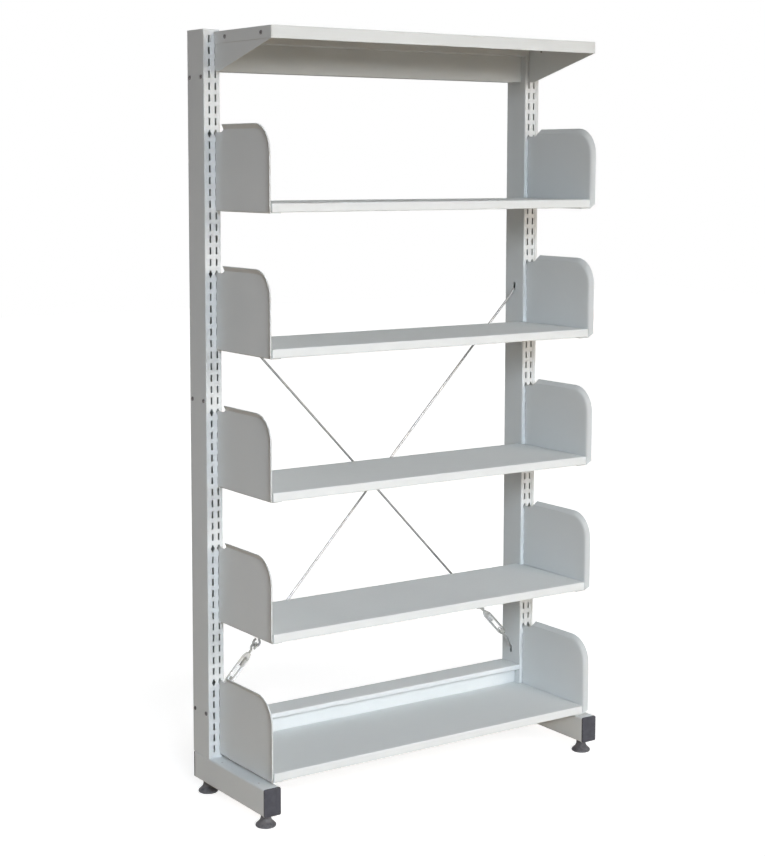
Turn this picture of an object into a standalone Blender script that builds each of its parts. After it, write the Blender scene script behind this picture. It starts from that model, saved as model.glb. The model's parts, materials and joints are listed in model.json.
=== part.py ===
"""Single-sided library rack: slotted uprights on levelled legs, hook-in shelves, a canopy and a braced back.

Metres, +Z up. The origin is on the floor at the middle of the rack, and its front looks along -Y.
An inset is measured from the rack's outer side face inwards, and a depth from the uprights' slotted
face backwards, so what stands in front of that face has a negative depth.
"""
import math

import bmesh
import bpy
from mathutils import Matrix, Vector

# Clearances
SEAT_GAP = 0.0003
RUNNING_GAP = 0.0005
CUT_PAST = 0.001
MERGE_DISTANCE = 1e-6

# Whole rack
RACK_WIDTH = 0.915

# Uprights: a slotted channel, open towards the rack's outer side
UPRIGHT_WIDTH = 0.040
UPRIGHT_DEPTH = 0.070
UPRIGHT_WALL = 0.0015
SLOT_PITCH = 0.025
SLOT_END = 0.020
SLOT_SIDE_GAP = 0.001
SLOT_HEAD_ROOM = 0.0015
SLOT_EDGE = 0.011
SLOT_COLUMN_SPACING = 0.015
SLOTS_ABOVE_SHELVES = 8
MARK_RADIUS = 0.0045

# Covers that close the uprights, and their screws
COVER_WALL = 0.001
COVER_FLANGE = 0.008
COVER_SCREW_END = 0.100
COVER_SCREW_EDGE = 0.010
COVER_SCREW_LAND = 0.008
SCREW_RADIUS = 0.0017
SCREW_LENGTH = 0.007
SCREW_HEAD_LAND = 0.0018
SCREW_HEAD_HEIGHT = 0.0020

# Base legs, their end caps and levelling feet
LEG_WIDTH = 0.040
LEG_HEIGHT = 0.060
LEG_WALL = 0.002
LEG_REACH = 0.242
CAP_THICKNESS = 0.005
CAP_PLUG = 0.012
CAP_ROUND = 0.0015
NUT_WALL = 0.004
NUT_HEIGHT = 0.008
FOOT_HEIGHT = 0.029
FOOT_RADIUS = 0.022
FOOT_RIM = 0.004
FOOT_NECK_RADIUS = 0.011
FOOT_NECK_HEIGHT = 0.007
FOOT_CAP_ROOM = 0.004
STUD_RADIUS = 0.005
STUD_TOP_ROOM = 0.012

# Tie beams: folded sheet with a stepped front and back
BEAM_HEIGHT = 0.073
BEAM_WALL = 0.0015
BEAM_LIP = 0.012
BEAM_STEP = 0.018
BEAM_TAB_HEIGHT = 0.012
BEAM_TAB_REACH = 0.006
BEAM_TAB_RELIEF = 0.0002
BEAM_TAB_EDGE = 0.010
TOP_BEAM_DROP = 0.0145

# Shelves: flat trays carried by a bracket at each end
SHELF_COUNT = 5
SHELF_STEP = 12
SHELF_FRONT = 0.230
SHELF_BACK_GAP = 0.001
SHELF_HEIGHT = 0.019
SHELF_WALL = 0.001
SHELF_RETURN = 0.012
SHELF_END_GAP = 0.0012
SHELF_NOTCH_GAP = 0.001

# Shelf brackets: a flat plate with a flared rim, a bottom flange and hooks
BRACKET_WALL = 0.002
BRACKET_SETBACK = 0.003
BRACKET_TOP = 0.009
BRACKET_TOE = 0.0153
BRACKET_CORNER = 0.048
BRACKET_FLANGE = 0.025
BRACKET_SHOULDER_TOP = 0.0026
BRACKET_SHOULDER_DEPTH = 0.0205
BRACKET_SHOULDER_CURVE = 0.020
RIM_WIDTH = 0.010
RIM_FLARE = 0.0075
HOOK_SPACING = 3
HOOK_COUNT = 3
HOOK_NECK = 0.006
HOOK_NOSE = 0.004
HOOK_DROP = 0.0075

# Canopy: a tray over the top bay on two gusset brackets
CANOPY_DROP = 0.005
CANOPY_FRONT = 0.236
CANOPY_LIP = 0.026
CANOPY_BACK_LIP = 0.020
CANOPY_WALL = 0.001
GUSSET_TOE_DROP = 0.0178
GUSSET_TOE = 0.021
GUSSET_HOOK_COUNT = 3
CANOPY_SCREW_BACK = 0.047
CANOPY_SCREW_EDGE = 0.040

# Cross brace: two hooked rods, each drawn tight by a turnbuckle
BRACE_INSET = 0.035
BRACE_SLOT_SIDE_GAP = 0.001
BRACE_SLOT_HEIGHT = 0.020
BRACE_LOW_SLOT = 0.097
BRACE_TOP_DROP = 0.588
ROD_RADIUS = 0.00275
ROD_STEPS = 10
THREAD_RADIUS = 0.003
HOOK_TAIL = 0.014
HOOK_OUT = 0.003
ROD_DROP = 0.005
ROD_KNEE = 0.010
HOOK_RISE = 0.0135
HOOK_KNEE = 0.016
RING_HOLE = 0.0053
RING_EXTRA = 0.0002
RING_STANDOFF = 0.0065
TURNBUCKLE_START = 0.029
TURNBUCKLE_LENGTH = 0.088
TURNBUCKLE_BOSS = 0.013
TURNBUCKLE_BOSS_WALL = 0.0017
TURNBUCKLE_BAR = 0.0035
THREAD_SIDE_ROOM = 0.002
THREAD_SHOW = 0.010

# Roundness of turned and bent shapes
SCREW_SIDES = 8
SCREW_HOLE_SIDES = 8
FOOT_SIDES = 16
HOLE_SIDES = 12
ARC_STEPS = 8
BEND_STEPS = 4
RING_STEPS = 16
WIRE_SIDES = 8
SHARP_ANGLE = math.radians(40)

# Levels and planes that follow from the sizes above
LEFT, RIGHT = -1, 1
SIDES = {"left": LEFT, "right": RIGHT}
HOOK_SPAN = (HOOK_COUNT - 1) * HOOK_SPACING
SLOT_COUNT = HOOK_SPAN + (SHELF_COUNT - 1) * SHELF_STEP + SLOTS_ABOVE_SHELVES + 1
SLOT_WIDTH = BRACKET_WALL + 2 * SLOT_SIDE_GAP
SLOT_HEIGHT = HOOK_NECK + HOOK_DROP + SLOT_HEAD_ROOM
INNER_SLOT_INSET = UPRIGHT_WIDTH - SLOT_EDGE
OUTER_SLOT_INSET = INNER_SLOT_INSET - SLOT_COLUMN_SPACING
UPRIGHT_RETURN = COVER_SCREW_EDGE + COVER_SCREW_LAND
SCREW_HEAD_RADIUS = SCREW_RADIUS + SCREW_HEAD_LAND
NUT_RADIUS = STUD_RADIUS + NUT_WALL
FOOT_INSET = CAP_THICKNESS + CAP_PLUG + NUT_RADIUS + FOOT_CAP_ROOM
BEAM_TAB_WALL = BEAM_WALL - 2 * BEAM_TAB_RELIEF
SHELF_BACK = BEAM_STEP - SHELF_BACK_GAP
BRACKET_REACH = SHELF_FRONT - BRACKET_SETBACK
BRACKET_DROP = HOOK_SPAN * SLOT_PITCH + BRACKET_TOE
BRACE_SLOT_WIDTH = 2 * (THREAD_RADIUS + BRACE_SLOT_SIDE_GAP)
RING_WIRE = THREAD_RADIUS + RING_EXTRA
RING_RADIUS = RING_HOLE + RING_WIRE
TURNBUCKLE_THICKNESS = 2 * (THREAD_RADIUS + SEAT_GAP + TURNBUCKLE_BOSS_WALL)
TURNBUCKLE_WIDTH = 2 * (THREAD_RADIUS + THREAD_SIDE_ROOM + TURNBUCKLE_BAR)
LEG_TOP = FOOT_HEIGHT + LEG_HEIGHT
COLUMN_BOTTOM = LEG_TOP + SEAT_GAP
COLUMN_TOP = COLUMN_BOTTOM + 2 * SLOT_END + (SLOT_COUNT - 1) * SLOT_PITCH
COLUMN_HEIGHT = COLUMN_TOP - COLUMN_BOTTOM
COVER_BACK = UPRIGHT_DEPTH + SEAT_GAP + COVER_WALL
FACE_Y = (LEG_REACH - COVER_BACK) / 2
CANOPY_TOP = COLUMN_TOP - CANOPY_DROP
GUSSET_TOP = CANOPY_TOP - CANOPY_WALL - SEAT_GAP
GUSSET_FRONT = CANOPY_FRONT - CANOPY_WALL - SEAT_GAP
BRACE_HIGH_SLOT = COLUMN_HEIGHT - BRACE_TOP_DROP
BRACE_TOP = COLUMN_BOTTOM + BRACE_HIGH_SLOT + SEAT_GAP + ROD_RADIUS
BRACE_BOTTOM = COLUMN_BOTTOM + BRACE_LOW_SLOT + BRACE_SLOT_HEIGHT - SEAT_GAP - THREAD_RADIUS
BOTTOM_BEAM_TOP = COLUMN_BOTTOM + BEAM_HEIGHT
TOP_BEAM_TOP = COLUMN_TOP - TOP_BEAM_DROP


def slot_z(index):
    """Height of a slot's centre, counted from the lowest slot."""
    return COLUMN_BOTTOM + SLOT_END + index * SLOT_PITCH


def shelf_slot(number):
    """Marked slot that carries a shelf's top hooks; shelf 1 is the highest."""
    return HOOK_SPAN + (SHELF_COUNT - number) * SHELF_STEP


def point(side, inset, depth, height):
    """World position from an inset, a depth and a height."""
    return Vector((side * (RACK_WIDTH / 2 - inset), FACE_Y + depth, height))


# Scene, collections and finishes


def clear_scene():
    for obj in list(bpy.data.objects):
        bpy.data.objects.remove(obj, do_unlink=True)


def new_collection(name):
    collection = bpy.data.collections.new(name)
    bpy.context.scene.collection.children.link(collection)
    return collection


def finish(name, colour, roughness, metallic):
    material = bpy.data.materials.new(name)
    material.use_nodes = True
    shader = material.node_tree.nodes["Principled BSDF"]
    shader.inputs["Base Color"].default_value = (*colour, 1.0)
    shader.inputs["Roughness"].default_value = roughness
    shader.inputs["Metallic"].default_value = metallic
    return material


clear_scene()
PARTS = new_collection("single_sided_library_rack")
CUTTERS = new_collection("rack_cutters")
PAINT = finish("light_grey_powder_coat", (0.66, 0.69, 0.69), 0.42, 0.0)
ZINC = finish("zinc_plated_steel", (0.62, 0.63, 0.63), 0.32, 1.0)
BLACK_PLASTIC = finish("black_moulded_plastic", (0.028, 0.028, 0.032), 0.45, 0.0)


# Building blocks


def add_object(name, mesh, material):
    """Puts a mesh in the rack with its finish."""
    obj = bpy.data.objects.new(name, mesh)
    obj.data.materials.append(material)
    PARTS.objects.link(obj)
    return obj


def round_shading(mesh):
    """Shades a round mesh smooth, but for its sharp edges."""
    mesh.shade_smooth()
    mesh.set_sharp_from_angle(angle=SHARP_ANGLE)


def as_tool(obj):
    """Turns an object into a hidden cutter or joining shape."""
    for collection in list(obj.users_collection):
        collection.objects.unlink(obj)
    CUTTERS.objects.link(obj)
    obj.hide_render = True
    obj.display_type = "WIRE"
    return obj


def combine(obj, tool, operation):
    modifier = obj.modifiers.new(f"{operation.lower()}_{tool.name}", "BOOLEAN")
    modifier.operation = operation
    modifier.object = tool
    modifier.solver = "EXACT"


def cut(obj, tool):
    combine(obj, tool, "DIFFERENCE")


def join(obj, tool):
    combine(obj, tool, "UNION")


def mesh_of(name, bm):
    mesh = bpy.data.meshes.new(name)
    bm.to_mesh(mesh)
    bm.free()
    return mesh


def add_block(bm, corner, opposite):
    """Adds one box between two opposite corners."""
    low = Vector(map(min, corner, opposite))
    high = Vector(map(max, corner, opposite))
    place = Matrix.Translation((low + high) / 2) @ Matrix.Diagonal((*(high - low), 1.0))
    bmesh.ops.create_cube(bm, size=1.0, matrix=place)


def block(name, corner, opposite, material):
    bm = bmesh.new()
    add_block(bm, corner, opposite)
    return add_object(name, mesh_of(name, bm), material)


def block_tool(name, boxes):
    """One cutter made of separate boxes, each given by two opposite corners."""
    bm = bmesh.new()
    for corner, opposite in boxes:
        add_block(bm, corner, opposite)
    return as_tool(add_object(name, mesh_of(name, bm), PAINT))


def rod_tool(name, ends, radius, sides=HOLE_SIDES):
    """One cutter made of separate round bars, each given by its two ends."""
    bm = bmesh.new()
    for start, end in ends:
        along = end - start
        turn = along.to_track_quat("Z", "Y").to_matrix().to_4x4()
        bmesh.ops.create_cone(
            bm, cap_ends=True, segments=sides, radius1=radius, radius2=radius,
            depth=along.length, matrix=Matrix.Translation((start + end) / 2) @ turn,
        )
    return as_tool(add_object(name, mesh_of(name, bm), PAINT))


def shell(obj, wall):
    """Gives an open surface its sheet thickness, half on each side."""
    modifier = obj.modifiers.new("sheet", "SOLIDIFY")
    modifier.thickness = wall
    modifier.offset = 0.0
    modifier.use_even_offset = True


def folded_sheet(name, start, end, wall, material):
    """A sheet folded along the lines between two like rows of points."""
    bm = bmesh.new()
    rows = [[bm.verts.new(p) for p in row] for row in (start, end)]
    for i in range(len(start) - 1):
        bm.faces.new((rows[0][i], rows[0][i + 1], rows[1][i + 1], rows[1][i]))
    obj = add_object(name, mesh_of(name, bm), material)
    shell(obj, wall)
    return obj


def flat_plate(name, outlines, thickness, place, material):
    """A plate from closed 2D outlines, the first the rim and the others holes, as a mesh."""
    curve = bpy.data.curves.new(name, "CURVE")
    curve.dimensions = "2D"
    curve.fill_mode = "BOTH"
    curve.extrude = thickness / 2
    for outline in outlines:
        spline = curve.splines.new("POLY")
        spline.points.add(len(outline) - 1)
        for item, (x, y) in zip(spline.points, outline):
            item.co = (x, y, 0.0, 1.0)
        spline.use_cyclic_u = True
    return curve_as_mesh(name, curve, place, material)


def tube(name, path, radius, material):
    """A round wire along a path, with closed ends, as a mesh."""
    curve = bpy.data.curves.new(name, "CURVE")
    curve.dimensions = "3D"
    curve.bevel_depth = radius
    curve.bevel_resolution = 2
    curve.use_fill_caps = True
    spline = curve.splines.new("POLY")
    spline.points.add(len(path) - 1)
    for item, position in zip(spline.points, path):
        item.co = (*position, 1.0)
    return curve_as_mesh(name, curve, Matrix.Identity(4), material)


def curve_as_mesh(name, curve, place, material):
    guide = bpy.data.objects.new(f"{name}_curve", curve)
    CUTTERS.objects.link(guide)
    guide.matrix_world = place
    bpy.context.view_layer.update()
    evaluated = guide.evaluated_get(bpy.context.evaluated_depsgraph_get())
    mesh = bpy.data.meshes.new_from_object(evaluated)
    bpy.data.objects.remove(guide, do_unlink=True)
    bm = bmesh.new()
    bm.from_mesh(mesh)
    bmesh.ops.remove_doubles(bm, verts=bm.verts, dist=MERGE_DISTANCE)
    bmesh.ops.recalc_face_normals(bm, faces=bm.faces)
    bm.to_mesh(mesh)
    bm.free()
    round_shading(mesh)
    obj = add_object(name, mesh, material)
    obj.matrix_world = place
    return obj


def turned(name, profile, sides, material):
    """A turned piece from (radius, height) points that run down its outer side."""
    bm = bmesh.new()
    verts = [bm.verts.new((radius, 0.0, height)) for radius, height in profile]
    edges = [bm.edges.new(ends) for ends in zip(verts, verts[1:])]
    bmesh.ops.spin(
        bm, geom=[*verts, *edges], axis=(0.0, 0.0, 1.0), cent=(0.0, 0.0, 0.0), angle=math.tau, steps=sides
    )
    bmesh.ops.remove_doubles(bm, verts=bm.verts, dist=MERGE_DISTANCE)
    bmesh.ops.recalc_face_normals(bm, faces=bm.faces)
    mesh = mesh_of(name, bm)
    round_shading(mesh)
    return add_object(name, mesh, material)


def ring_tool(name, centre, normal):
    """A ring of wire, to be joined to a rod's end."""
    bpy.ops.mesh.primitive_torus_add(
        major_segments=RING_STEPS, minor_segments=WIRE_SIDES,
        major_radius=RING_RADIUS, minor_radius=RING_WIRE,
        location=centre, rotation=normal.to_track_quat("Z", "Y").to_euler(),
    )
    ring = bpy.context.object
    ring.name = name
    round_shading(ring.data)
    return as_tool(ring)


def arc(centre, radius, start, end, steps=ARC_STEPS):
    """Points along an arc, with its angles in degrees."""
    angles = (math.radians(start + (end - start) * i / steps) for i in range(steps + 1))
    return [(centre[0] + radius * math.cos(a), centre[1] + radius * math.sin(a)) for a in angles]


def bent(corners, radius):
    """A path through corners with each inner corner rounded to a bend radius."""
    path = [corners[0]]
    for before, corner, after in zip(corners, corners[1:], corners[2:]):
        into = (corner - before).normalized()
        out = (after - corner).normalized()
        turn = into.angle(out)
        trim = radius * math.tan(turn / 2)
        first = corner - into * trim
        centre = first + (out - into * into.dot(out)).normalized() * radius
        arm = first - centre
        for i in range(BEND_STEPS + 1):
            angle = turn * i / BEND_STEPS
            path.append(centre + arm * math.cos(angle) + into * radius * math.sin(angle))
    path.append(corners[-1])
    return path


def parent_to(name, position, children):
    """Hangs pieces that move together on one empty."""
    empty = bpy.data.objects.new(name, None)
    PARTS.objects.link(empty)
    empty.location = position
    bpy.context.view_layer.update()
    for child in children:
        child.parent = empty
        child.matrix_parent_inverse = empty.matrix_world.inverted()


# Uprights and covers


def cover_screw_places():
    """Depth and height of each screw that holds a cover."""
    heights = (COVER_SCREW_END, COLUMN_HEIGHT / 2, COLUMN_HEIGHT - COVER_SCREW_END)
    depths = (COVER_SCREW_EDGE, UPRIGHT_DEPTH - COVER_SCREW_EDGE)
    return [(depth, COLUMN_BOTTOM + height) for height in heights for depth in depths]


def screw_hole_tool(name, side, inset, places):
    """Holes for screws driven in from the rack's outer side."""
    past = SCREW_LENGTH + CUT_PAST
    ends = [(point(side, inset - CUT_PAST, d, z), point(side, inset + past, d, z)) for d, z in places]
    return rod_tool(name, ends, SCREW_RADIUS + SEAT_GAP, SCREW_HOLE_SIDES)


def slot_tool(side):
    """Both columns of slots through the front wall."""
    boxes = []
    for inset in (OUTER_SLOT_INSET, INNER_SLOT_INSET):
        for index in range(SLOT_COUNT):
            low = point(side, inset - SLOT_WIDTH / 2, -CUT_PAST, slot_z(index) - SLOT_HEIGHT / 2)
            high = point(
                side, inset + SLOT_WIDTH / 2, UPRIGHT_WALL + CUT_PAST, slot_z(index) + SLOT_HEIGHT / 2
            )
            boxes.append((low, high))
    return block_tool(f"slots_{side}", boxes)


def mark_tool(side):
    """Round marks at the slots where the shelves stand."""
    ends = []
    for inset in (OUTER_SLOT_INSET, INNER_SLOT_INSET):
        for number in range(1, SHELF_COUNT + 1):
            height = slot_z(shelf_slot(number))
            front = point(side, inset, -CUT_PAST, height)
            ends.append((front, point(side, inset, UPRIGHT_WALL + CUT_PAST, height)))
    return rod_tool(f"marks_{side}", ends, MARK_RADIUS)


def beam_tab_heights(beam_top):
    low = beam_top - BEAM_HEIGHT + BEAM_TAB_EDGE
    high = beam_top - BEAM_LIP - BEAM_TAB_EDGE - BEAM_TAB_HEIGHT
    return low, high


def inner_wall_tool(side):
    """Slots in the inner wall for the brace and for the beams' tabs."""
    outside = UPRIGHT_WIDTH + CUT_PAST
    inside = UPRIGHT_WIDTH - UPRIGHT_WALL - CUT_PAST
    boxes = []
    for start in (BRACE_LOW_SLOT, BRACE_HIGH_SLOT):
        front = BRACE_INSET - BRACE_SLOT_WIDTH / 2
        back = BRACE_INSET + BRACE_SLOT_WIDTH / 2
        low = point(side, outside, front, COLUMN_BOTTOM + start)
        boxes.append((low, point(side, inside, back, COLUMN_BOTTOM + start + BRACE_SLOT_HEIGHT)))
    web = BEAM_STEP + BEAM_WALL / 2
    half = BEAM_TAB_WALL / 2 + SEAT_GAP
    for beam_top in (BOTTOM_BEAM_TOP, TOP_BEAM_TOP):
        for start in beam_tab_heights(beam_top):
            low = point(side, outside, web - half, start - SEAT_GAP)
            high = point(side, inside, web + half, start + BEAM_TAB_HEIGHT + SEAT_GAP)
            boxes.append((low, high))
    return block_tool(f"inner_wall_slots_{side}", boxes)


def column_sheet(name, side, profile, wall):
    """A sheet folded to a profile of (inset, depth) points that runs the column's whole height."""
    rows = [[point(side, inset, depth, z) for inset, depth in profile] for z in (COLUMN_BOTTOM, COLUMN_TOP)]
    return folded_sheet(name, *rows, wall, PAINT)


def upright(word, side):
    half = UPRIGHT_WALL / 2
    lip = COVER_WALL + SEAT_GAP + half
    inner = UPRIGHT_WIDTH - half
    back = UPRIGHT_DEPTH - half
    profile = [
        (lip, UPRIGHT_RETURN), (lip, half), (inner, half),
        (inner, back), (lip, back), (lip, UPRIGHT_DEPTH - UPRIGHT_RETURN),
    ]
    obj = column_sheet(f"{word}_upright", side, profile, UPRIGHT_WALL)
    cut(obj, slot_tool(side))
    cut(obj, mark_tool(side))
    cut(obj, inner_wall_tool(side))
    return obj


def cover(word, side):
    half = COVER_WALL / 2
    front = -SEAT_GAP - half
    back = UPRIGHT_DEPTH + SEAT_GAP + half
    profile = [(COVER_FLANGE, front), (half, front), (half, back), (COVER_FLANGE, back)]
    return column_sheet(f"{word}_upright_cover", side, profile, COVER_WALL)


def screw(name, side, inset, depth, height):
    """A pan-head screw driven inwards, its head resting on the face at the inset."""
    profile = [
        (0.0, SCREW_HEAD_HEIGHT), (SCREW_HEAD_RADIUS * 0.6, SCREW_HEAD_HEIGHT),
        (SCREW_HEAD_RADIUS, SCREW_HEAD_HEIGHT * 0.4), (SCREW_HEAD_RADIUS, 0.0),
        (SCREW_RADIUS, 0.0), (SCREW_RADIUS, -SCREW_LENGTH), (0.0, -SCREW_LENGTH),
    ]
    obj = turned(name, profile, SCREW_SIDES, ZINC)
    obj.location = point(side, inset - SEAT_GAP, depth, height)
    obj.rotation_euler = (0.0, side * math.pi / 2, 0.0)
    return obj


def build_column(word, side):
    places = cover_screw_places()
    holes = screw_hole_tool(f"{word}_cover_screw_holes", side, 0.0, places)
    for piece in (upright(word, side), cover(word, side)):
        cut(piece, holes)
    for number, (depth, height) in enumerate(places, start=1):
        screw(f"{word}_cover_screw_{number}", side, 0.0, depth, height)


# Base legs, caps and feet


def foot_depths():
    return {"front": FOOT_INSET - LEG_REACH, "rear": UPRIGHT_DEPTH - FOOT_INSET}


def leg(word, side):
    front = -LEG_REACH + CAP_THICKNESS + SEAT_GAP
    back = UPRIGHT_DEPTH - CAP_THICKNESS - SEAT_GAP
    obj = block(
        f"{word}_base_leg", point(side, 0.0, front, FOOT_HEIGHT), point(side, LEG_WIDTH, back, LEG_TOP), PAINT
    )
    low = point(side, LEG_WALL, front - CUT_PAST, FOOT_HEIGHT + LEG_WALL)
    high = point(side, LEG_WIDTH - LEG_WALL, back + CUT_PAST, LEG_TOP - LEG_WALL)
    cut(obj, block_tool(f"{word}_leg_bore", [(low, high)]))
    nuts = []
    holes = []
    for depth in foot_depths().values():
        top = point(side, LEG_WIDTH / 2, depth, FOOT_HEIGHT + LEG_WALL + NUT_HEIGHT)
        nuts.append((point(side, LEG_WIDTH / 2, depth, FOOT_HEIGHT + LEG_WALL / 2), top))
        past = Vector((0.0, 0.0, CUT_PAST))
        holes.append((point(side, LEG_WIDTH / 2, depth, FOOT_HEIGHT) - past, top + past))
    join(obj, rod_tool(f"{word}_weld_nuts", nuts, NUT_RADIUS, sides=6))
    cut(obj, rod_tool(f"{word}_stud_holes", holes, STUD_RADIUS + RUNNING_GAP))


def end_cap(name, side, outer, inwards):
    """A moulded cap on a leg's end; inwards is the way its plug points along the depth."""
    obj = block(
        name, point(side, 0.0, outer, FOOT_HEIGHT),
        point(side, LEG_WIDTH, outer + inwards * CAP_THICKNESS, LEG_TOP), BLACK_PLASTIC,
    )
    rounding = obj.modifiers.new("moulded_edge", "BEVEL")
    rounding.width = CAP_ROUND
    rounding.segments = 2
    wall = LEG_WALL + SEAT_GAP
    overlap = CAP_THICKNESS / 2
    low = point(side, wall, outer + inwards * overlap, FOOT_HEIGHT + wall)
    high = point(side, LEG_WIDTH - wall, outer + inwards * (CAP_THICKNESS + CAP_PLUG), LEG_TOP - wall)
    join(obj, block_tool(f"{name}_plug", [(low, high)]))


def foot(name, side, depth):
    """A flared foot on a stud that screws into the leg."""
    neck_top = FOOT_HEIGHT - SEAT_GAP
    neck_bottom = neck_top - FOOT_NECK_HEIGHT
    stud_top = LEG_TOP - LEG_WALL - STUD_TOP_ROOM
    flare = [
        (FOOT_RADIUS - (FOOT_RADIUS - FOOT_NECK_RADIUS) * math.cos(angle),
         neck_bottom - (neck_bottom - 2 * FOOT_RIM) * math.sin(angle))
        for angle in (math.radians(15 * i) for i in range(1, 5))
    ]
    profile = [
        (0.0, stud_top), (STUD_RADIUS, stud_top), (STUD_RADIUS, neck_top),
        (FOOT_NECK_RADIUS, neck_top), (FOOT_NECK_RADIUS, neck_bottom), *flare,
        (FOOT_RADIUS, FOOT_RIM), (FOOT_RADIUS, FOOT_RIM / 3),
        (FOOT_RADIUS - FOOT_RIM / 3, 0.0), (0.0, 0.0),
    ]
    obj = turned(name, profile, FOOT_SIDES, BLACK_PLASTIC)
    obj.location = point(side, LEG_WIDTH / 2, depth, 0.0)


def build_base(word, side):
    leg(word, side)
    end_cap(f"{word}_front_leg_cap", side, -LEG_REACH, 1)
    end_cap(f"{word}_rear_leg_cap", side, UPRIGHT_DEPTH, -1)
    for place, depth in foot_depths().items():
        foot(f"{word}_{place}_foot", side, depth)


# Tie beams


def beam(name, top):
    """A beam between the uprights, with tabs that enter slots in their inner walls."""
    half = BEAM_WALL / 2
    bottom = top - BEAM_HEIGHT
    front_half = [
        (BEAM_STEP + half, bottom), (BEAM_STEP + half, top - BEAM_LIP + half),
        (half, top - BEAM_LIP + half), (half, top - half),
    ]
    back_half = [(UPRIGHT_DEPTH - depth, height) for depth, height in reversed(front_half)]
    end = UPRIGHT_WIDTH + SEAT_GAP
    rows = [[point(side, end, *p) for p in front_half + back_half] for side in (LEFT, RIGHT)]
    obj = folded_sheet(name, *rows, BEAM_WALL, PAINT)
    web = BEAM_STEP + half
    tabs = []
    for side in (LEFT, RIGHT):
        for start in beam_tab_heights(top):
            low = point(side, end + BEAM_TAB_REACH, web - BEAM_TAB_WALL / 2, start)
            high = point(side, end - BEAM_TAB_REACH, web + BEAM_TAB_WALL / 2, start + BEAM_TAB_HEIGHT)
            tabs.append((low, high))
    join(obj, block_tool(f"{name}_tabs", tabs))


# Hook-in brackets


def hooked_edge(slot_offsets):
    """Back edge of a bracket, from top to bottom, as (depth, height) points with a hook at each slot."""
    points = []
    back = UPRIGHT_WALL + SEAT_GAP
    for offset in slot_offsets:
        bearing = offset - SLOT_HEIGHT / 2 + SEAT_GAP
        points += [
            (-SEAT_GAP, bearing + HOOK_NECK), (back + HOOK_NOSE, bearing + HOOK_NECK),
            (back + HOOK_NOSE, bearing - HOOK_DROP), (back, bearing - HOOK_DROP),
            (back, bearing), (-SEAT_GAP, bearing),
        ]
    return points


def shelf_bracket(name, side, height):
    """A shelf end: flat plate, flared rim along its top and front, bottom flange and hooks."""
    bottom = -BRACKET_DROP + BRACKET_WALL / 2
    shoulder = (-BRACKET_SHOULDER_DEPTH, BRACKET_SHOULDER_TOP + BRACKET_SHOULDER_CURVE)
    climb = math.degrees(math.asin((BRACKET_TOP - shoulder[1]) / BRACKET_SHOULDER_CURVE))
    shoulder_curve = arc(shoulder, BRACKET_SHOULDER_CURVE, 270, 180 - climb, BEND_STEPS)
    corner = (BRACKET_CORNER - BRACKET_REACH, BRACKET_TOP - BRACKET_CORNER)
    bend_line = [shoulder_curve[-1], *arc(corner, BRACKET_CORNER, 90, 180), (-BRACKET_REACH, bottom)]
    rim_top = BRACKET_TOP + RIM_WIDTH
    rim_climb = math.asin((rim_top - shoulder[1]) / BRACKET_SHOULDER_CURVE)
    rim_line = [
        (shoulder[0] - BRACKET_SHOULDER_CURVE * math.cos(rim_climb), rim_top),
        *arc(corner, BRACKET_CORNER + RIM_WIDTH, 90, 180), (-BRACKET_REACH - RIM_WIDTH, bottom + RIM_WIDTH),
    ]
    hooks = hooked_edge([-i * HOOK_SPACING * SLOT_PITCH for i in range(HOOK_COUNT)])

    def placed(item, outwards=0.0):
        return bm.verts.new(point(side, INNER_SLOT_INSET - outwards, item[0], height + item[1]))

    bm = bmesh.new()
    bend = [placed(item) for item in bend_line]
    back = [placed(item) for item in [*hooks, (-SEAT_GAP, bottom)]]
    shoulder_top = [placed(item) for item in [(-SEAT_GAP, BRACKET_SHOULDER_TOP), *shoulder_curve[:-1]]]
    bm.faces.new([*shoulder_top, *bend, *reversed(back)])
    rim = [placed(item, RIM_FLARE) for item in rim_line]
    for i in range(len(bend) - 1):
        bm.faces.new((bend[i], bend[i + 1], rim[i + 1], rim[i]))
    flange = [placed((depth, bottom), -BRACKET_FLANGE) for depth in (-BRACKET_REACH, -SEAT_GAP)]
    bm.faces.new((bend[-1], back[-1], flange[1], flange[0]))
    bmesh.ops.recalc_face_normals(bm, faces=bm.faces)
    obj = add_object(name, mesh_of(name, bm), PAINT)
    shell(obj, BRACKET_WALL)
    return obj


# Shelves


def tray(name, inset, front, back, top, height, wall, material):
    """A tray open below, between equal insets at both ends."""
    obj = block(name, point(LEFT, inset, front, top - height), point(RIGHT, inset, back, top), material)
    low = point(LEFT, inset + wall, front + wall, top - height - CUT_PAST)
    return obj, (low, point(RIGHT, inset + wall, back - wall, top - wall))


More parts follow.
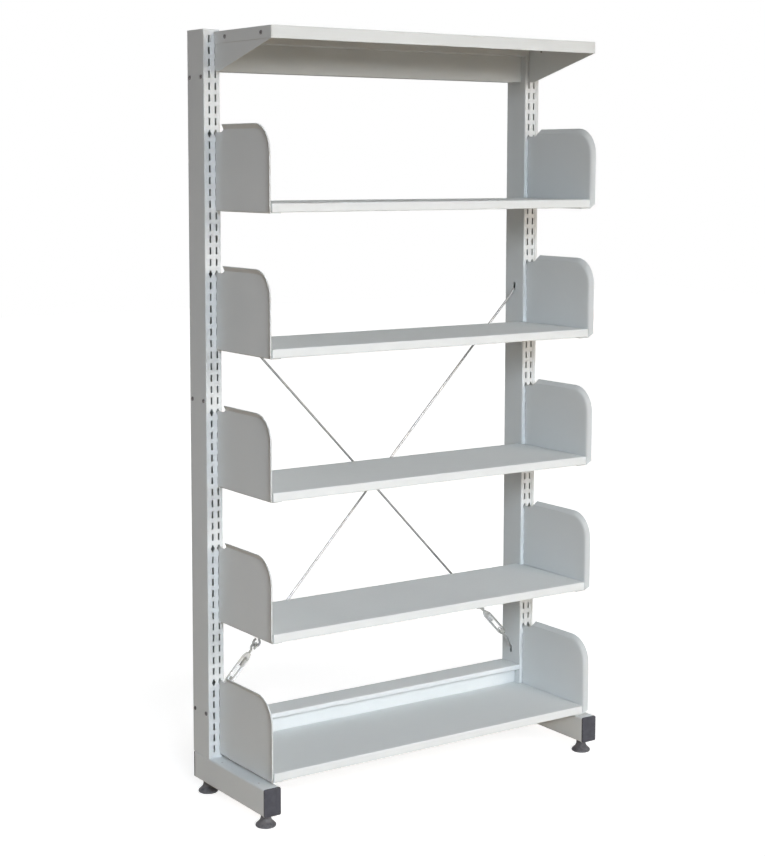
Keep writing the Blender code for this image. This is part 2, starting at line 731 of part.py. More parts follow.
def shelf(number):
    """A shelf tray with turned-in lips and notched rear corners, and its two brackets."""
    height = slot_z(shelf_slot(number))
    seat = height - BRACKET_DROP + BRACKET_WALL + SEAT_GAP
    inset = INNER_SLOT_INSET + BRACKET_WALL / 2 + SHELF_END_GAP
    name = f"shelf_{number}"
    top = seat + SHELF_HEIGHT
    plate, (low, high) = tray(
        f"{name}_plate", inset, -SHELF_FRONT, SHELF_BACK, top, SHELF_HEIGHT, SHELF_WALL, PAINT
    )
    cavity_low = Vector((low.x, low.y, seat + SHELF_WALL))
    cut(plate, block_tool(f"{name}_cavity", [(cavity_low, high)]))
    turn_in = Vector((0.0, SHELF_RETURN, 0.0))
    mouth_high = Vector((high.x, high.y, seat + 2 * SHELF_WALL)) - turn_in
    cut(plate, block_tool(f"{name}_mouth", [(low + turn_in, mouth_high)]))
    notches = []
    for side in (LEFT, RIGHT):
        first = point(side, inset - CUT_PAST, -SHELF_NOTCH_GAP, seat - CUT_PAST)
        last = point(side, UPRIGHT_WIDTH + SHELF_NOTCH_GAP, SHELF_BACK + CUT_PAST, top + CUT_PAST)
        notches.append((first, last))
    cut(plate, block_tool(f"{name}_notches", notches))
    brackets = [shelf_bracket(f"{name}_{word}_bracket", side, height) for word, side in SIDES.items()]
    parent_to(f"{name}_lift", (0.0, FACE_Y, height), [plate, *brackets])


# Canopy


def gusset_outline():
    """(depth, height) points of a canopy bracket, measured from its top edge."""
    offsets = [slot_z(SLOT_COUNT - 1 - i) - GUSSET_TOP for i in range(GUSSET_HOOK_COUNT)]
    tip = CANOPY_TOP - CANOPY_LIP - GUSSET_TOP
    toe = offsets[-1] - GUSSET_TOE_DROP
    return [
        (-GUSSET_FRONT, 0.0), (-GUSSET_FRONT, tip), (-GUSSET_TOE, toe),
        (-SEAT_GAP, toe), *reversed(hooked_edge(offsets)), (-SEAT_GAP, 0.0),
    ]


def gusset(word, side):
    """A triangular canopy bracket with hooks along its back edge."""
    upright_plane = Matrix(((0, 0, 1, 0), (1, 0, 0, 0), (0, 1, 0, 0), (0, 0, 0, 1)))
    place = Matrix.Translation(point(side, INNER_SLOT_INSET, 0.0, GUSSET_TOP)) @ upright_plane
    return flat_plate(f"{word}_canopy_bracket", [gusset_outline()], BRACKET_WALL, place, PAINT)


def canopy():
    skirt = INNER_SLOT_INSET - BRACKET_WALL / 2 - SEAT_GAP - CANOPY_WALL
    top, hollow = tray(
        "canopy_top", skirt, -CANOPY_FRONT, -SEAT_GAP, CANOPY_TOP, CANOPY_LIP, CANOPY_WALL, PAINT
    )
    cut(top, block_tool("canopy_hollow", [hollow]))
    back_lip = CANOPY_TOP - CANOPY_BACK_LIP
    below = CANOPY_TOP - CANOPY_LIP - CUT_PAST
    before = -SEAT_GAP - CANOPY_WALL - CUT_PAST
    low = point(LEFT, skirt + CANOPY_WALL, before, below)
    cut(top, block_tool("canopy_back_trim", [(low, point(RIGHT, skirt + CANOPY_WALL, CUT_PAST, back_lip))]))
    reach = INNER_SLOT_INSET + BRACKET_WALL / 2 + RUNNING_GAP
    notches = []
    for side in (LEFT, RIGHT):
        low = point(side, skirt + CANOPY_WALL, before, below)
        notches.append((low, point(side, reach, CUT_PAST, CANOPY_TOP - CANOPY_WALL)))
    cut(top, block_tool("canopy_back_notches", notches))
    height = CANOPY_TOP - CANOPY_LIP / 2
    places = [(-CANOPY_SCREW_BACK, height), (CANOPY_SCREW_EDGE - CANOPY_FRONT, height)]
    pieces = [top]
    for word, side in SIDES.items():
        holes = screw_hole_tool(f"{word}_canopy_screw_holes", side, skirt, places)
        bracket = gusset(word, side)
        cut(bracket, holes)
        cut(top, holes)
        pieces.append(bracket)
        for number, (depth, z) in enumerate(places, start=1):
            pieces.append(screw(f"{word}_canopy_screw_{number}", side, skirt, depth, z))
    parent_to("canopy_lift", (0.0, FACE_Y, CANOPY_TOP), pieces)


# Cross brace


def brace(letter, side):
    """One diagonal, hooked into the upright on its side at the top and into the other at the bottom."""
    way_in = point(side, UPRIGHT_WIDTH + HOOK_OUT, BRACE_INSET, BRACE_TOP)
    way_out = point(-side, UPRIGHT_WIDTH + HOOK_OUT, BRACE_INSET, BRACE_BOTTOM)
    upper = way_in - Vector((0.0, 0.0, ROD_DROP))
    lower = way_out + Vector((0.0, 0.0, HOOK_RISE))
    along = (upper - lower).normalized()
    across = Vector((0.0, 1.0, 0.0))
    flat = across.cross(along)

    body_end = TURNBUCKLE_START + TURNBUCKLE_LENGTH
    eye = lower + along * (body_end + RING_STANDOFF + RING_RADIUS + RING_WIRE)
    loop = eye + along * (2 * RING_RADIUS - 2 * RING_WIRE - SEAT_GAP)

    behind_wall = UPRIGHT_WIDTH - UPRIGHT_WALL - SEAT_GAP
    rod_bend = ROD_RADIUS + SEAT_GAP
    shank = point(side, behind_wall - ROD_RADIUS, BRACE_INSET, BRACE_TOP)
    tail_end = shank - Vector((0.0, 0.0, HOOK_TAIL))
    hook = bent([tail_end, shank, way_in, upper - along * ROD_KNEE, loop + along * RING_RADIUS], rod_bend)
    start, end = hook[-2], hook[-1]
    bow = ROD_RADIUS + RUNNING_GAP
    span = []
    for i in range(1, ROD_STEPS):
        share = i / ROD_STEPS
        span.append(start.lerp(end, share) + across * side * bow * math.sin(math.pi * share))
    rod = tube(f"brace_rod_{letter}", [*hook[:-1], *span, end], ROD_RADIUS, ZINC)
    join(rod, ring_tool(f"rod_loop_{letter}", loop, across))

    inner_end = body_end - TURNBUCKLE_BOSS - THREAD_SHOW
    eye_screw = tube(
        f"eye_screw_{letter}", [lower + along * inner_end, eye - along * RING_RADIUS], THREAD_RADIUS, ZINC
    )
    join(eye_screw, ring_tool(f"eye_ring_{letter}", eye, flat))

    tail = point(-side, behind_wall - THREAD_RADIUS, BRACE_INSET, BRACE_BOTTOM)
    reach = TURNBUCKLE_START + TURNBUCKLE_BOSS + THREAD_SHOW
    knee = lower + along * HOOK_KNEE
    corners = [tail + Vector((0.0, 0.0, HOOK_TAIL)), tail, way_out, knee, lower + along * reach]
    tube(f"hook_screw_{letter}", bent(corners, THREAD_RADIUS + SEAT_GAP), THREAD_RADIUS, ZINC)

    middle = lower + along * (TURNBUCKLE_START + TURNBUCKLE_LENGTH / 2)
    turn = Matrix((along, across.cross(along), across)).transposed().to_4x4()
    turnbuckle(f"turnbuckle_{letter}", Matrix.Translation(middle) @ turn)


def stadium(length, width):
    """A long outline with round ends, centred on the origin."""
    radius = width / 2
    reach = length / 2 - radius
    return arc((reach, 0.0), radius, -90, 90) + arc((-reach, 0.0), radius, 90, 270)


def turnbuckle(name, place):
    """An open body, threaded on both ends along its length."""
    window = stadium(TURNBUCKLE_LENGTH - 2 * TURNBUCKLE_BOSS, TURNBUCKLE_WIDTH - 2 * TURNBUCKLE_BAR)
    outlines = [stadium(TURNBUCKLE_LENGTH, TURNBUCKLE_WIDTH), window]
    body = flat_plate(name, outlines, TURNBUCKLE_THICKNESS, place, ZINC)
    past = Vector((TURNBUCKLE_LENGTH / 2 + CUT_PAST, 0.0, 0.0))
    bore = rod_tool(f"{name}_bore", [(-past, past)], THREAD_RADIUS + SEAT_GAP)
    bore.matrix_world = place
    cut(body, bore)


for side_word, side_sign in SIDES.items():
    build_column(side_word, side_sign)
    build_base(side_word, side_sign)
beam("top_beam", TOP_BEAM_TOP)
beam("bottom_beam", BOTTOM_BEAM_TOP)
for shelf_number in range(1, SHELF_COUNT + 1):
    shelf(shelf_number)
canopy()
brace("a", RIGHT)
brace("b", LEFT)
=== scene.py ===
"""Looks of a single-sided library rack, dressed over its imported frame.

Metres, +Z up, in the frame's own place: the floor is at Z = 0 and the rack's front looks along -Y.
Folded sheet keeps the frame's shape and gets its bend radii. Round and moulded pieces are made anew
where the frame has them, with their threads, recesses and formed eyes. Every surface gets a finish
that is worked out by nodes.
"""
from __future__ import annotations

import json
import logging
import math
from collections.abc import Callable, Iterable, Mapping, Sequence
from dataclasses import dataclass, field, replace
from enum import Enum, IntEnum

import bmesh
import bpy
from bmesh.types import BMEdge, BMesh, BMFace
from bpy.types import ID, Material, Mesh, NodeOutputs, NodeSocket, Object, World
from mathutils import Matrix, Vector

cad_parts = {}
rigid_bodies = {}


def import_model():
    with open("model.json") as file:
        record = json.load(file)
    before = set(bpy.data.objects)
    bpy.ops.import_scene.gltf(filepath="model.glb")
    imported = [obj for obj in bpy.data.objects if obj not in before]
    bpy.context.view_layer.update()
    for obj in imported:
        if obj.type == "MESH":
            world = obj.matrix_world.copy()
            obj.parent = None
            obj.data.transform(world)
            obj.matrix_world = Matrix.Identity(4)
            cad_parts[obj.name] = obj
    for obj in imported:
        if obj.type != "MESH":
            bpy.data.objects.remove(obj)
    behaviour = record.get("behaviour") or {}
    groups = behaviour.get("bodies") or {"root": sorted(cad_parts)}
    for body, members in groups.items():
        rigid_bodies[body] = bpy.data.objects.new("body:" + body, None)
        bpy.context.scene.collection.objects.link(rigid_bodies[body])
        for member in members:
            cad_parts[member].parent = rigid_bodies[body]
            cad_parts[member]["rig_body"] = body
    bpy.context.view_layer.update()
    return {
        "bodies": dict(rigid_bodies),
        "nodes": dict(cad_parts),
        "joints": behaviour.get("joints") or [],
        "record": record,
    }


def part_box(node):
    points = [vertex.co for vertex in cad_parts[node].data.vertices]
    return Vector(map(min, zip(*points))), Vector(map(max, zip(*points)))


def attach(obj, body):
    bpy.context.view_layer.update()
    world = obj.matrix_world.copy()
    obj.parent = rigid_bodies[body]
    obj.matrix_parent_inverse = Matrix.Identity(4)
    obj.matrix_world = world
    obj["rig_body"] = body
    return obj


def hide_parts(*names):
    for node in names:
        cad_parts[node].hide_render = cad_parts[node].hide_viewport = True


LOG = logging.getLogger("library_rack")

Box = tuple[Vector, Vector]
Colour = tuple[float, float, float]
Inputs = Mapping[str | int, float | Sequence[float] | NodeSocket]
Profile = Sequence[tuple[float, float]]
RadiusRule = Callable[[float, float], float]
Turn = tuple[float, float]

ACROSS = Vector((1.0, 0.0, 0.0))
BACKWARDS = Vector((0.0, 1.0, 0.0))
UP = Vector((0.0, 0.0, 1.0))
RACK_MIDDLE = Vector((0.0, 0.0, 0.9))
WHITE = (1.0, 1.0, 1.0)
MERGE_DISTANCE = 1e-6
CUT_MERGE_DISTANCE = 1e-5
FLAT_ANGLE = math.radians(0.5)
SHARP_ANGLE = math.radians(38)
ROUND_PROFILE = 0.5
STEPS_PER_PITCH = 6
SHELF_COUNT = 5
FRAME_BODY = "frame"
# Least share of an edge's length that follows an axis it runs along
STRAIGHT_SHARE = 0.999
# Greatest length, in walls, that still counts as the thickness of a sheet
WALL_SLACK = 1.2


class Axis(IntEnum):
    """An axis, as its place in a vector."""

    X = 0
    Y = 1
    Z = 2


class Side(Enum):
    """A side of the rack, as the sign of its X."""

    LEFT = -1
    RIGHT = 1

    @property
    def word(self) -> str:
        """The side's word in node names."""
        return self.name.lower()

    @property
    def outwards(self) -> Vector:
        """Direction that leads out of the rack on this side."""
        return ACROSS * self.value

    def outer(self, box: Box) -> float:
        """X of a box's face that looks out of the rack."""
        return max(box[0].x * self.value, box[1].x * self.value) * self.value

    def inner(self, box: Box) -> float:
        """X of a box's face that looks into the rack."""
        return min(box[0].x * self.value, box[1].x * self.value) * self.value


class LegEnd(Enum):
    """An end of a base leg, as the way along Y that leads out of it."""

    FRONT = -1
    REAR = 1

    @property
    def word(self) -> str:
        """The end's word in node names."""
        return self.name.lower()


class Slot(Enum):
    """The record's material slots."""

    PAINT = "light_grey_powder_coat"
    ZINC = "zinc_plated_steel"
    PLASTIC = "black_moulded_plastic"


# Finishes


class NodeGraph:
    """The node tree of a material or of the world, with short ways to fill it."""

    noise_middle = (0.35, 0.65)

    def __init__(self, owner: Material | World) -> None:
        """Starts with an empty tree.

        Args:
            owner: The material or world that the tree belongs to.
        """
        owner.use_nodes = True
        self.tree = owner.node_tree
        self.tree.nodes.clear()

    def add(self, kind: str, inputs: Inputs | None = None, **choices: str) -> NodeOutputs:
        """Adds a node and fills its inputs.

        Args:
            kind: The node's kind.
            inputs: The socket that is linked to each input, or its constant, by its name or number.
            choices: The node's own settings, which are made first.

        Returns:
            The node's outputs.
        """
        node = self.tree.nodes.new(kind)
        for name, choice in choices.items():
            setattr(node, name, choice)
        for name, value in (inputs or {}).items():
            if isinstance(value, NodeSocket):
                self.tree.links.new(value, node.inputs[name])
            else:
                node.inputs[name].default_value = value
        return node.outputs

    def noise(self, place: NodeSocket, scale: float, octaves: float) -> NodeSocket:
        """Adds a noise pattern.

        Args:
            place: Where on the piece the pattern is asked for.
            scale: Waves per metre.
            octaves: Layers of finer noise.

        Returns:
            The pattern's value.
        """
        inputs = {"Vector": place, "Scale": scale, "Detail": octaves}
        return self.add("ShaderNodeTexNoise", inputs)["Fac"]

    def spread(self, pattern: NodeSocket, low: float, high: float) -> NodeSocket:
        """Maps the middle of a noise pattern to a range.

        Args:
            pattern: The pattern's value.
            low: What its low patches become.
            high: What its high patches become.

        Returns:
            The mapped value.
        """
        bottom, top = self.noise_middle
        inputs = {"Value": pattern, "From Min": bottom, "From Max": top, "To Min": low, "To Max": high}
        return self.add("ShaderNodeMapRange", inputs)["Result"]

    def split_surface(self, output: str, lit: NodeSocket, shown: NodeSocket) -> None:
        """Ends the tree with one look for rays that show it and another for rays that light the rack.

        Args:
            output: Kind of the tree's output node.
            lit: The look for rays that only light the rack.
            shown: The look for camera, glossy and transmission rays.
        """
        path = self.add("ShaderNodeLightPath")
        seen = path["Is Camera Ray"]
        for name in ("Is Glossy Ray", "Is Transmission Ray"):
            seen = self.add("ShaderNodeMath", {0: seen, 1: path[name]}, operation="MAXIMUM")["Value"]
        surface = self.add("ShaderNodeMixShader", {"Fac": seen, 1: lit, 2: shown})["Shader"]
        self.add(output, {"Surface": surface})


@dataclass(frozen=True)
class Finish:
    """A surface with clouded colour, uneven gloss and a fine grain."""

    name: str
    slot: Slot
    colour: Colour
    cloud_colour: Colour
    cloud_scale: float
    gloss_scale: float
    smooth: float
    rough: float
    grain_scale: float
    grain_depth: float
    grain_strength: float
    metallic: float = 0.0
    specular: float = 0.5
    cloud_octaves: float = 3.0
    fine_octaves: float = 2.0

    def material(self) -> Material:
        """Builds the finish as a material.

        Returns:
            The material.
        """
        material = bpy.data.materials.new(self.name)
        graph = NodeGraph(material)
        place = graph.add("ShaderNodeTexCoord")["Object"]
        clouds = graph.spread(graph.noise(place, self.cloud_scale, self.cloud_octaves), 0.0, 1.0)
        colours = {"Factor": clouds, "A": (*self.colour, 1.0), "B": (*self.cloud_colour, 1.0)}
        gloss = graph.noise(place, self.gloss_scale, self.fine_octaves)
        relief = {
            "Height": graph.noise(place, self.grain_scale, self.fine_octaves),
            "Distance": self.grain_depth, "Strength": self.grain_strength,
        }
        surface = {
            "Base Color": graph.add("ShaderNodeMix", colours, data_type="RGBA")["Result"],
            "Roughness": graph.spread(gloss, self.smooth, self.rough),
            "Normal": graph.add("ShaderNodeBump", relief)["Normal"],
            "Metallic": self.metallic, "Specular IOR Level": self.specular,
        }
        shader = graph.add("ShaderNodeBsdfPrincipled", surface)["BSDF"]
        graph.add("ShaderNodeOutputMaterial", {"Surface": shader})
        return material


POWDER_COAT = Finish(
    name="light_grey_powder_coat_finish", slot=Slot.PAINT,
    colour=(0.684, 0.722, 0.730), cloud_colour=(0.714, 0.748, 0.754), cloud_scale=2.5,
    gloss_scale=45.0, smooth=0.62, rough=0.74,
    grain_scale=620.0, grain_depth=0.0002, grain_strength=0.10, specular=0.03,
)
ZINC_PLATE = Finish(
    name="zinc_plated_steel_finish", slot=Slot.ZINC,
    colour=(0.52, 0.53, 0.54), cloud_colour=(0.62, 0.61, 0.58), cloud_scale=35.0,
    gloss_scale=120.0, smooth=0.26, rough=0.40,
    grain_scale=900.0, grain_depth=0.0001, grain_strength=0.05, metallic=1.0,
)
ZINC_WIRE = replace(
    ZINC_PLATE, name="zinc_plated_wire_finish",
    colour=(0.37, 0.38, 0.39), cloud_colour=(0.46, 0.45, 0.43), smooth=0.36, rough=0.48,
)
# Screw heads coloured near black: painted shade and painted dark reflection, standing in for the shade in
# the cross recess and the dark surroundings that zinc heads mirror
SHADE_DARKENED_SCREW = Finish(
    name="dull_screw_steel_finish", slot=Slot.ZINC,
    colour=(0.080, 0.075, 0.080), cloud_colour=(0.150, 0.140, 0.138), cloud_scale=400.0,
    gloss_scale=700.0, smooth=0.22, rough=0.36,
    grain_scale=2200.0, grain_depth=0.0001, grain_strength=0.08, metallic=1.0,
)
MOULDED_PLASTIC = Finish(
    name="black_moulded_plastic_finish", slot=Slot.PLASTIC,
    colour=(0.030, 0.031, 0.042), cloud_colour=(0.046, 0.047, 0.060), cloud_scale=60.0,
    gloss_scale=150.0, smooth=0.42, rough=0.58,
    grain_scale=1400.0, grain_depth=0.0002, grain_strength=0.25,
)
DUSTY_PLASTIC = replace(
    MOULDED_PLASTIC, name="dusty_moulded_plastic_finish",
    colour=(0.056, 0.057, 0.066), cloud_colour=(0.115, 0.114, 0.120), cloud_scale=120.0,
    smooth=0.50, rough=0.66,
)


# Lines and profiles


def arc(centre: Vector, first: Vector, second: Vector, turn: Turn, steps: int) -> list[Vector]:
    """Draws an arc of a circle or an ellipse.

    Args:
        centre: Its middle.
        first: Arm from the middle to the point at angle 0.
        second: Arm from the middle to the point a quarter turn on.
        turn: Angles at its start and end.
        steps: Straight steps along it.

    Returns:
        The arc's points.
    """
    start, end = turn
    angles = [start + (end - start) * i / steps for i in range(steps + 1)]
    return [centre + first * math.cos(angle) + second * math.sin(angle) for angle in angles]


def bent(corners: Sequence[Vector], radius: float, steps: int = 6) -> list[Vector]:
    """Rounds the inner corners of a path.

    Args:
        corners: The path's corners, ends included.
        radius: Bend radius of its middle line.
        steps: Straight steps in each bend.

    Returns:
        The rounded path.
    """
    path = [corners[0]]
    for before, corner, after in zip(corners, corners[1:], corners[2:]):
        into = (corner - before).normalized()
        out = (after - corner).normalized()
        turn = into.angle(out)
        first = corner - into * radius * math.tan(turn / 2)
        centre = first + (out - into * into.dot(out)).normalized() * radius
        path += arc(centre, first - centre, into * radius, (0.0, turn), steps)
    path.append(corners[-1])
    return path


def dense(path: Sequence[Vector], step: float) -> list[Vector]:
    """Adds points to a path so that none are further apart than a step.

    Args:
        path: The path's points.
        step: Longest distance between neighbours.

    Returns:
        The denser path.
    """
    points = [path[0]]
    for start, end in zip(path, path[1:]):
        count = max(1, math.ceil((end - start).length / step))
        points += [start.lerp(end, i / count) for i in range(1, count + 1)]
    return points


def upright_points(profile: Profile, radius: float = 1.0, height: float = 1.0) -> list[Vector]:
    """Puts pairs of shares of a radius and a height in the XZ plane."""
    return [Vector((x * radius, 0.0, z * height)) for x, z in profile]


def thread_rule(
    radius: float, pitch: float, depth: float, start: float = 0.0, end: float = math.inf
) -> RadiusRule:
    """Gives a bar's radius with a thread on one stretch of it.

    Args:
        radius: Radius over the crests and of the plain bar.
        pitch: Distance between crests.
        depth: Height of the crests.
        start: Distance run where the thread starts.
        end: Distance run where it ends.

    Returns:
        The rule for sweep().
    """
    def rule(run: float, angle: float) -> float:
        """Works out the bar's radius at a place on it.

        Args:
            run: Distance along the bar.
            angle: Angle around it.

        Returns:
            The radius.
        """
        if not start <= run <= end:
            return radius
        phase = (run / pitch - angle / math.tau) % 1.0
        return radius - depth * abs(2.0 * phase - 1.0)

    return rule


# Solids


def sweep(path: Sequence[Vector], radius: RadiusRule, sides: int) -> BMesh:
    """Draws a round section along a path and closes its ends.

    Args:
        path: The middle line's points.
        radius: Section radius from the distance run and the angle around.
        sides: Points around the section.

    Returns:
        The swept solid.
    """
    bm = bmesh.new()
    tangents = [(path[1] - path[0]).normalized()]
    tangents += [(after - before).normalized() for before, after in zip(path, path[2:])]
    tangents.append((path[-1] - path[-2]).normalized())
    normal = tangents[0].orthogonal().normalized()
    rows = []
    run = 0.0
    for i, (spot, tangent) in enumerate(zip(path, tangents)):
        if i:
            run += (spot - path[i - 1]).length
            normal = tangents[i - 1].rotation_difference(tangent) @ normal
        across = tangent.cross(normal)
        row = []
        for k in range(sides):
            angle = math.tau * k / sides
            arm = normal * math.cos(angle) + across * math.sin(angle)
            row.append(bm.verts.new(spot + arm * radius(run, angle)))
        rows.append(row)
    for below, above in zip(rows, rows[1:]):
        for k in range(sides):
            after = (k + 1) % sides
            bm.faces.new((below[k], below[after], above[after], above[k]))
    bm.faces.new(rows[0][::-1])
    bm.faces.new(rows[-1])
    return bm


def lathe(profile: Sequence[Vector], sides: int) -> BMesh:
    """Turns a profile in the XZ plane about Z.

    Args:
        profile: Points from the axis, down the outer side and back to the axis.
        sides: Faces around.

    Returns:
        The turned solid.
    """
    bm = bmesh.new()
    verts = [bm.verts.new(spot) for spot in profile]
    edges = [bm.edges.new(ends) for ends in zip(verts, verts[1:])]
    bmesh.ops.spin(bm, geom=[*verts, *edges], axis=UP, cent=(0, 0, 0), angle=math.tau, steps=sides)
    tidy_solid(bm)
    return bm


def tidy_solid(bm: BMesh) -> None:
    """Joins the points of a mesh that meet and turns its faces outwards."""
    bmesh.ops.remove_doubles(bm, verts=bm.verts, dist=MERGE_DISTANCE)
    bmesh.ops.recalc_face_normals(bm, faces=bm.faces)


def add_box(bm: BMesh, low: Vector, high: Vector) -> None:
    """Adds a box between two corners to a mesh."""
    place = Matrix.Translation((low + high) / 2) @ Matrix.Diagonal((*(high - low), 1.0))
    bmesh.ops.create_cube(bm, size=1.0, matrix=place)


def rounded_plate(
    name: str, rings: Sequence[Sequence[Vector]], thickness: float, rounding: float, steps: int
) -> BMesh:
    """Makes a flat plate with windows and rounded edges.

    Args:
        name: Name of the outline that it is made from.
        rings: Its rim and its windows, in the XY plane.
        thickness: Its thickness, half of it on each side of that plane.
        rounding: Radius of its edges.
        steps: Extra faces across each edge.

    Returns:
        The plate.
    """
    curve = bpy.data.curves.new(name, "CURVE")
    curve.dimensions = "2D"
    curve.fill_mode = "BOTH"
    curve.extrude = thickness / 2 - rounding
    curve.bevel_depth = rounding
    curve.bevel_resolution = steps
    curve.offset = -rounding
    for ring in rings:
        spline = curve.splines.new("POLY")
        spline.points.add(len(ring) - 1)
        for item, spot in zip(spline.points, ring):
            item.co = (*spot, 1.0)
        spline.use_cyclic_u = True
    guide = place_object(name, curve)
    bm = bmesh.new()
    bm.from_mesh(evaluated_mesh(guide))
    bpy.data.objects.remove(guide, do_unlink=True)
    tidy_solid(bm)
    return bm


def cut_out(name: str, body: BMesh, cutter: BMesh) -> Mesh:
    """Cuts one mesh out of another.

    Args:
        name: Name of the result.
        body: What is cut, which is used up.
        cutter: What is taken away, which is used up.

    Returns:
        The cut mesh, shaded smooth but for its sharp edges.
    """
    scratch = []
    for word, bm in (("body", body), ("cutter", cutter)):
        scratch.append(place_object(f"{name}_{word}", finished_mesh(f"{name}_{word}", bm)))
    modifier = scratch[0].modifiers.new("cut", "BOOLEAN")
    modifier.object = scratch[1]
    modifier.solver = "EXACT"
    modifier.use_self = True
    mesh = evaluated_mesh(scratch[0])
    mesh.name = name
    for item in scratch:
        bpy.data.objects.remove(item, do_unlink=True)
    shade(mesh)
    return mesh


# Meshes and objects


def finished_mesh(name: str, bm: BMesh) -> Mesh:
    """Turns a mesh that is being worked on into one that an object can show.

    Args:
        name: The mesh's name.
        bm: The worked mesh, which is used up.

    Returns:
        The mesh.
    """
    mesh = bpy.data.meshes.new(name)
    bm.to_mesh(mesh)
    bm.free()
    return mesh


def shade(mesh: Mesh) -> None:
    """Shades a mesh smooth but for its sharp edges."""
    mesh.shade_smooth()
    mesh.set_sharp_from_angle(angle=SHARP_ANGLE)


def place_object(name: str, data: ID) -> Object:
    """Puts a mesh, curve, light or camera in the scene.

    Args:
        name: The object's name.
        data: What it shows.

    Returns:
        The object.
    """
    item = bpy.data.objects.new(name, data)
    bpy.context.scene.collection.objects.link(item)
    return item


def evaluated_mesh(item: Object) -> Mesh:
    """Copies an object's mesh as its settings and modifiers leave it."""
    shown = item.evaluated_get(bpy.context.evaluated_depsgraph_get())
    return bpy.data.meshes.new_from_object(shown)


# Edges and faces


def runs_along(edge: BMEdge, axes: Iterable[Axis]) -> bool:
    """Tells whether an edge runs along one of some axes."""
    way = (edge.verts[1].co - edge.verts[0].co).normalized()
    return any(abs(way[axis]) > STRAIGHT_SHARE for axis in axes)


def along_axis(bm: BMesh, axis: Axis) -> list[BMEdge]:
    """Finds the edges that run along an axis."""
    return [edge for edge in bm.edges if runs_along(edge, (axis,))]


def round_edges(bm: BMesh, edges: Iterable[BMEdge], radius: float, steps: int) -> None:
    """Rounds edges of a mesh in place.

    Args:
        bm: The mesh.
        edges: Its edges to round.
        radius: Width of the rounding on each face.
        steps: Faces across the rounding.
    """
    bmesh.ops.bevel(
        bm, geom=list(edges), offset=radius, offset_type="OFFSET", segments=steps,
        profile=ROUND_PROFILE, affect="EDGES", clamp_overlap=True,
    )
    bmesh.ops.remove_doubles(bm, verts=bm.verts, dist=MERGE_DISTANCE)


def part_faces(bm: BMesh, cuts: Iterable[tuple[Axis, float]]) -> None:
    """Parts the faces of a mesh along planes and marks the new edges as seams.

    Args:
        bm: The mesh.
        cuts: The planes, each as an axis and a place on it.
    """
    for axis, place in cuts:
        way = (ACROSS, BACKWARDS, UP)[axis]
        whole = [*bm.verts, *bm.edges, *bm.faces]
        cut = bmesh.ops.bisect_plane(
            bm, geom=whole, dist=MERGE_DISTANCE, plane_co=way * place, plane_no=way
        )
        for item in cut["geom_cut"]:
            if isinstance(item, BMEdge):
                item.seam = True


def reach_across(face: BMFace, edge: BMEdge) -> float:
    """Measures a face straight in from the middle of one of its edges.

    Args:
        face: A flat face.
        edge: One of its edges.

    Returns:
        Distance to the face's far side.
    """
    middle = (edge.verts[0].co + edge.verts[1].co) / 2
    loop = next(loop for loop in face.loops if loop.edge is edge)
    along = (loop.link_loop_next.vert.co - loop.vert.co).normalized()
    inwards = face.normal.cross(along)
    reach = math.inf
    for other in face.edges:
        start, end = [(vert.co - middle) for vert in other.verts]
        first, last = start.dot(along), end.dot(along)
        if other is edge or (first > 0) == (last > 0):
            continue
        crossing = start.lerp(end, first / (first - last)).dot(inwards)
        if crossing > MERGE_DISTANCE:
            reach = min(reach, crossing)
    return reach


def clearance(face: BMFace, edge: BMEdge) -> float:
    """Measures how near a face's other corners come to one of its edges.

    Args:
        face: A flat face.
        edge: One of its edges.

    Returns:
        Distance from the edge to the nearest corner beside it.
    """
    start = edge.verts[0].co
    span = edge.verts[1].co - start
    nearest = math.inf
    for vert in face.verts:
        arm = vert.co - start
        share = arm.dot(span) / span.length_squared
        if vert not in edge.verts and -MERGE_DISTANCE < share < 1.0 + MERGE_DISTANCE:
            nearest = min(nearest, (arm - span * share).length)
    return nearest


def narrowness(face: BMFace) -> float:
    """Width of a long face, from its area and its rim."""
    return 2.0 * face.calc_area() / face.calc_perimeter()


# Bench where pieces are made and put on the frame


